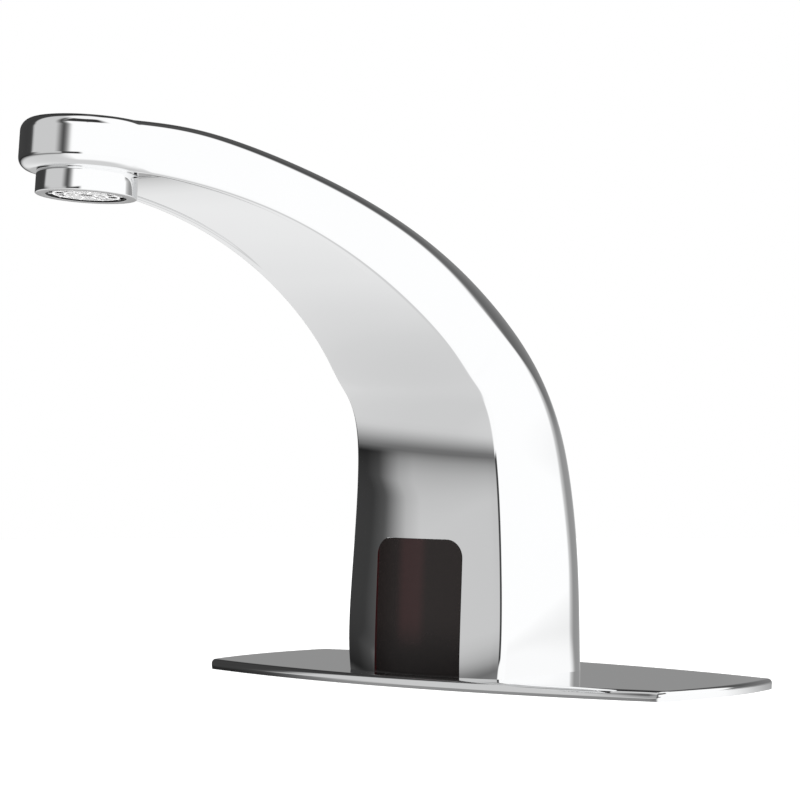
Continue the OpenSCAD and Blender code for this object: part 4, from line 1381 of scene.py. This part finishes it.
@dataclass(frozen=True)
class Surroundings:
    """What the chrome reflects: mostly white, with the greys and darks that the photograph shows.

    Places are in degrees: azimuths from the way towards the camera, positive towards the right of
    the picture, and elevations from the horizon. Greys are linear.
    """

    facing: Pair = (0.6418, -0.7669)
    upper: Stops = (
        (-180, 0.28), (-175, 0.27), (-170, 0.12), (-164, 0.055), (-120, 0.045), (-108, 0.05),
        (-104, 0.1), (-101, 0.4), (-97, 0.6), (-53, 0.6), (-49, 0.46), (-45, 0.28), (-42, 0.156),
        (-38.5, 0.074), (-35, 0.15), (-31.6, 0.3), (-28, 0.6), (-24.8, 0.92), (-22, 1.04),
        (99.5, 1.04), (102, 0.5), (104, 0.2), (108, 0.13), (116, 0.15), (132, 0.19), (156, 0.25),
        (172, 0.28), (180, 0.28))
    lower: Stops = (
        (-180, 0.28), (-175, 0.28), (-170, 0.12), (-164, 0.05), (-110, 0.043), (-102, 0.09),
        (-98, 0.21), (-94, 0.35), (-90, 0.49), (-82, 0.605), (-47, 0.59), (-43, 0.56), (-40, 0.35),
        (-38, 0.1), (-35, 0.13), (-31.6, 0.3), (-28, 0.6), (-24.8, 0.92), (-22, 1.04), (103, 1.04),
        (104.6, 0.85), (107, 0.62), (114, 0.4), (120, 0.29), (148, 0.31), (156, 0.36), (164, 0.5),
        (169, 0.55), (174, 0.28), (180, 0.28))
    ground: Stops = (
        (-180, 0.78), (-172, 0.86), (-160, 0.82), (-148, 0.74), (-132, 0.68), (-115, 0.655),
        (-90, 0.635), (-60, 0.63), (-46, 0.66), (-36, 0.8), (-25, 1.03), (100, 1.03), (120, 0.92),
        (140, 0.75), (156, 0.62), (168, 0.58), (176, 0.65), (180, 0.78))
    seam: Stops = (
        (-22, 1), (-18, 0.97), (-16, 0.9), (-14, 0.78), (-12, 0.62), (-10, 0.42), (-8.5, 0.27),
        (-7.3, 0.25), (-6, 0.42), (-5, 0.55), (-3, 0.76), (-1, 0.92), (0.3, 1), (10, 1))
    seam_side: Stops = ((-180, 1), (-42, 1), (-36, 0), (180, 0))
    far_left: Stops = ((-180, 1), (-80, 1), (-62, 0), (180, 0))
    right_back: Stops = ((0, 0), (98, 0), (102, 1), (180, 1))
    right_back_dim: Stops = ((0, 1), (22, 1), (28, 0.72), (34, 0.5), (60, 0.5))
    back: Stops = ((0, 0), (150, 0), (170, 1), (180, 1))
    back_dim: Stops = ((0, 1), (12, 1), (26, 0.35), (60, 0.25))
    line: Stops = ((-180, 0), (-41, 0), (-37, 1), (-12, 1), (-4, 0), (180, 0))
    patch: Stops = ((-180, 0), (-56, 0), (-46, 1), (30, 1), (50, 0), (180, 0))
    right_lean: Pair = (9.0, 0.9)
    left_lean: Pair = (20.0, -0.6)
    left_shift: float = -4.5
    lean_fade: Pair = (180.0, 150.0)
    shift_rise: Pair = (-2.5, -0.8)
    upper_rise: Pair = (4.0, 7.0)
    line_fall: Pair = (6.0, 4.5)
    ground_rise: Pair = (-8.6, -6.0)
    nadir_rise: Pair = (-72.0, -50.0)
    zenith_rise: Pair = (66.0, 76.0)
    patch_rise: Pair = (40.0, 46.0)
    patch_fall: Pair = (74.0, 68.0)
    line_grey: float = 0.05
    nadir_grey: float = 0.66
    patch_grey: float = 0.035

    def directions(self, graph: Graph) -> tuple[Socket, Socket]:
        """Adds the way that is looked in.

        Args:
            graph: The graph of the world's tree.

        Returns:
            Its azimuth and its elevation.
        """
        way = graph.add("ShaderNodeTexCoord").outputs["Generated"]
        parts = graph.add("ShaderNodeSeparateXYZ", {0: way}).outputs
        heading = graph.math("DEGREES", graph.math("ARCTAN2", parts[1], parts[0]))
        ahead = math.degrees(math.atan2(self.facing[1], self.facing[0]))
        turn = graph.math("WRAP", graph.minus(heading, ahead), 180.0, -180.0)
        return turn, graph.math("DEGREES", graph.math("ARCSINE", parts[2]))

    def sky(self, graph: Graph) -> Socket:
        """Adds the reflected surroundings.

        Args:
            graph: The graph of the world's tree.

        Returns:
            Their colour.
        """
        turn, rise = self.directions(graph)
        aside = graph.math("ABSOLUTE", turn)
        right = graph.math("GREATER_THAN", turn, 0.0)

        def climb(span: Pair) -> Socket:
            """Smooth change from 0 to 1 between two elevations."""
            return graph.spread(rise, *span, True)

        def lean(start: float, pull: float, side: Socket) -> Socket:
            """Degrees by which boundaries lean outwards above an elevation, on one side."""
            above = graph.math("MAXIMUM", graph.minus(rise, start), 0.0)
            return graph.product(graph.product(above, pull), side)

        def dim(ring: Socket, where: Socket, dimming: Socket) -> Socket:
            """Surroundings darkened in some place."""
            return graph.times(graph.mix(where, grey(1.0), dimming), ring)

        leans = graph.math("ADD", lean(*self.right_lean, right),
                           lean(*self.left_lean, graph.minus(1.0, right)))
        bent = graph.minus(turn, graph.product(leans, graph.spread(aside, *self.lean_fade)))
        shift = graph.product(graph.product(climb(self.shift_rise), self.left_shift),
                              graph.over(turn, self.far_left))
        lower = graph.over(graph.math("ADD", turn, shift), self.lower)
        ring = graph.mix(climb(self.upper_rise), lower, graph.over(bent, self.upper))
        ring = dim(ring, graph.product(right, graph.over(bent, self.right_back)),
                   graph.over(rise, self.right_back_dim))
        ring = dim(ring, graph.over(aside, self.back), graph.over(rise, self.back_dim))
        ring = graph.mix(graph.product(graph.over(turn, self.line), climb(self.line_fall)), ring,
                         grey(self.line_grey))
        ring = graph.mix(climb(self.ground_rise), graph.over(turn, self.ground), ring)
        ring = dim(ring, graph.over(turn, self.seam_side), graph.over(rise, self.seam))
        ring = graph.mix(climb(self.nadir_rise), grey(self.nadir_grey), ring)
        ring = graph.mix(climb(self.zenith_rise), ring, grey(1.0))
        patch = graph.product(graph.over(turn, self.patch),
                              graph.product(climb(self.patch_rise), climb(self.patch_fall)))
        return graph.mix(patch, ring, grey(self.patch_grey))


@dataclass(frozen=True)
class Lamp:
    """Soft square lamp that models matt surfaces without showing in the chrome."""

    name: str
    at: tuple[float, float, float]
    power: float
    size: float = 0.8
    aim: tuple[float, float, float] = (0.0, -0.05, 0.05)

    def build(self) -> None:
        """Places the lamp and turns it to its aim."""
        data = bpy.data.lights.new(self.name, "AREA")
        data.size = self.size
        data.energy = self.power
        lamp = bpy.data.objects.new(self.name, data)
        lamp.location = self.at
        way = Vector(self.aim) - Vector(self.at)
        lamp.rotation_euler = way.to_track_quat("-Z", "Y").to_euler()
        lamp.visible_glossy = False
        lamp.visible_camera = False
        bpy.context.scene.collection.objects.link(lamp)


@dataclass
class Studio:
    """Camera, floor, lamps and surroundings, in metres and degrees."""

    camera_at: tuple[float, float, float] = (0.54888, -0.69083, 0.077245)
    camera_turn: Pair = (90.0147, 39.9445)
    lens: float = 142.515
    sensor: float = 36.0
    clip_start: float = 0.01
    floor_rings: tuple[float, ...] = (1e-6, 0.1, 0.3, 0.9)
    floor_steps: int = 96
    floor_drop: float = 0.02
    floor_tone: float = 0.8
    floor_glow: float = 0.42
    matt_light: float = 0.75
    surroundings: Surroundings = Surroundings()
    lamps: tuple[Lamp, ...] = (
        Lamp("key", (0.5, -0.5, 0.9), 7.0), Lamp("fill", (-0.7, -0.2, 0.6), 3.0))

    def camera(self) -> None:
        """Places the camera at the photograph's viewpoint."""
        data = bpy.data.cameras.new("camera")
        data.lens = self.lens
        data.sensor_width = self.sensor
        data.clip_start = self.clip_start
        camera = bpy.data.objects.new("camera", data)
        camera.location = self.camera_at
        tilt, heading = (math.radians(angle) for angle in self.camera_turn)
        camera.rotation_euler = (tilt, 0, heading)
        bpy.context.scene.collection.objects.link(camera)
        bpy.context.scene.camera = camera

    def world(self) -> None:
        """Builds the world: white to the camera, pale to matt pieces, surroundings to chrome."""
        world = bpy.data.worlds.new("studio")
        bpy.context.scene.world = world
        world.use_nodes = True
        graph = Graph(world.node_tree)
        ray = graph.add("ShaderNodeLightPath").outputs
        seen = graph.mix(ray["Is Glossy Ray"], grey(self.matt_light), self.surroundings.sky(graph))
        seen = graph.mix(ray["Is Camera Ray"], seen, grey(1.0))
        background = graph.add("ShaderNodeBackground", {"Color": seen, "Strength": 1.0})
        graph.add("ShaderNodeOutputWorld", {"Surface": background.outputs[0]})

    def floor(self) -> None:
        """Builds the pale floor, which fades into the background and keeps the shadow."""
        points, faces = skin([
            [(x, y, -self.floor_drop) for x, y in circle(radius / MM, self.floor_steps)]
            for radius in self.floor_rings], False, False)
        floor = mesh_object("floor", points, faces)
        material = bpy.data.materials.new("pale_floor")
        material.use_nodes = True
        graph = Graph(material.node_tree)
        ray = graph.add("ShaderNodeLightPath").outputs
        matt = graph.add("ShaderNodeBsdfDiffuse", {"Color": grey(self.floor_tone)})
        glow = graph.add("ShaderNodeEmission", {"Color": grey(1.0), "Strength": self.floor_glow})
        both = graph.add("ShaderNodeAddShader", {0: matt.outputs[0], 1: glow.outputs[0]})
        clear = graph.add("ShaderNodeBsdfTransparent")
        shown = graph.add("ShaderNodeMixShader", {
            0: ray["Is Glossy Ray"], 1: both.outputs[0], 2: clear.outputs[0]})
        graph.add("ShaderNodeOutputMaterial", {"Surface": shown.outputs[0]})
        floor.data.materials.append(material)

    def build(self) -> None:
        """Sets up the whole studio."""
        self.camera()
        self.world()
        self.floor()
        for lamp in self.lamps:
            lamp.build()
        bpy.context.scene.view_settings.view_transform = "Standard"


def main() -> None:
    """Builds the tap's pieces and the studio, and reports each piece."""
    logging.basicConfig(level=logging.INFO, format="%(message)s")
    lines = SpoutLines()
    pieces = [
        CastBody(lines, Chrome("polished_chrome")).build(),
        DeckPlate(Chrome("plate_chrome_sheet")).build(),
        SensorWindow(lines, SmokedWindow()).build(),
    ]
    outlet = Outlet(
        lines, Chrome("collar_chrome"),
        # painted shade: darker grey metal for the collar's downward face
        Finish("collar_rim_painted_shade", (0.5, 0.5, 0.5), 0.3, metallic=1.0, tone=0.02),
        Finish("grille_moulding", (0.9, 0.9, 0.9), 0.35, tone=0.03, relief=0.03, specular=0.3),
        # painted shade: near-black for the bore and the ring against it
        Finish("painted_bore_shade", (0.012, 0.012, 0.012), 0.5, tone=0.1, cells=1200, relief=0.05,
               specular=0.15))
    pieces += [outlet.build_collar(), outlet.build_grille()]
    wire = Finish("spring_wire", (0.58, 0.59, 0.61), 0.2, metallic=1.0, tone=0.05, cells=2600,
                  relief=0.04)
    for node, body, turns in (("check_spring", "check_valve", 3), ("plunger_spring", "plunger", 5)):
        pieces.append(Coil(node, body, turns).build(wire))
    for piece in pieces:
        LOG.info("%s: %d faces", piece.name, len(piece.data.polygons))
    Insides().dress()
    Studio().build()


if __name__ == "__main__":
    main()
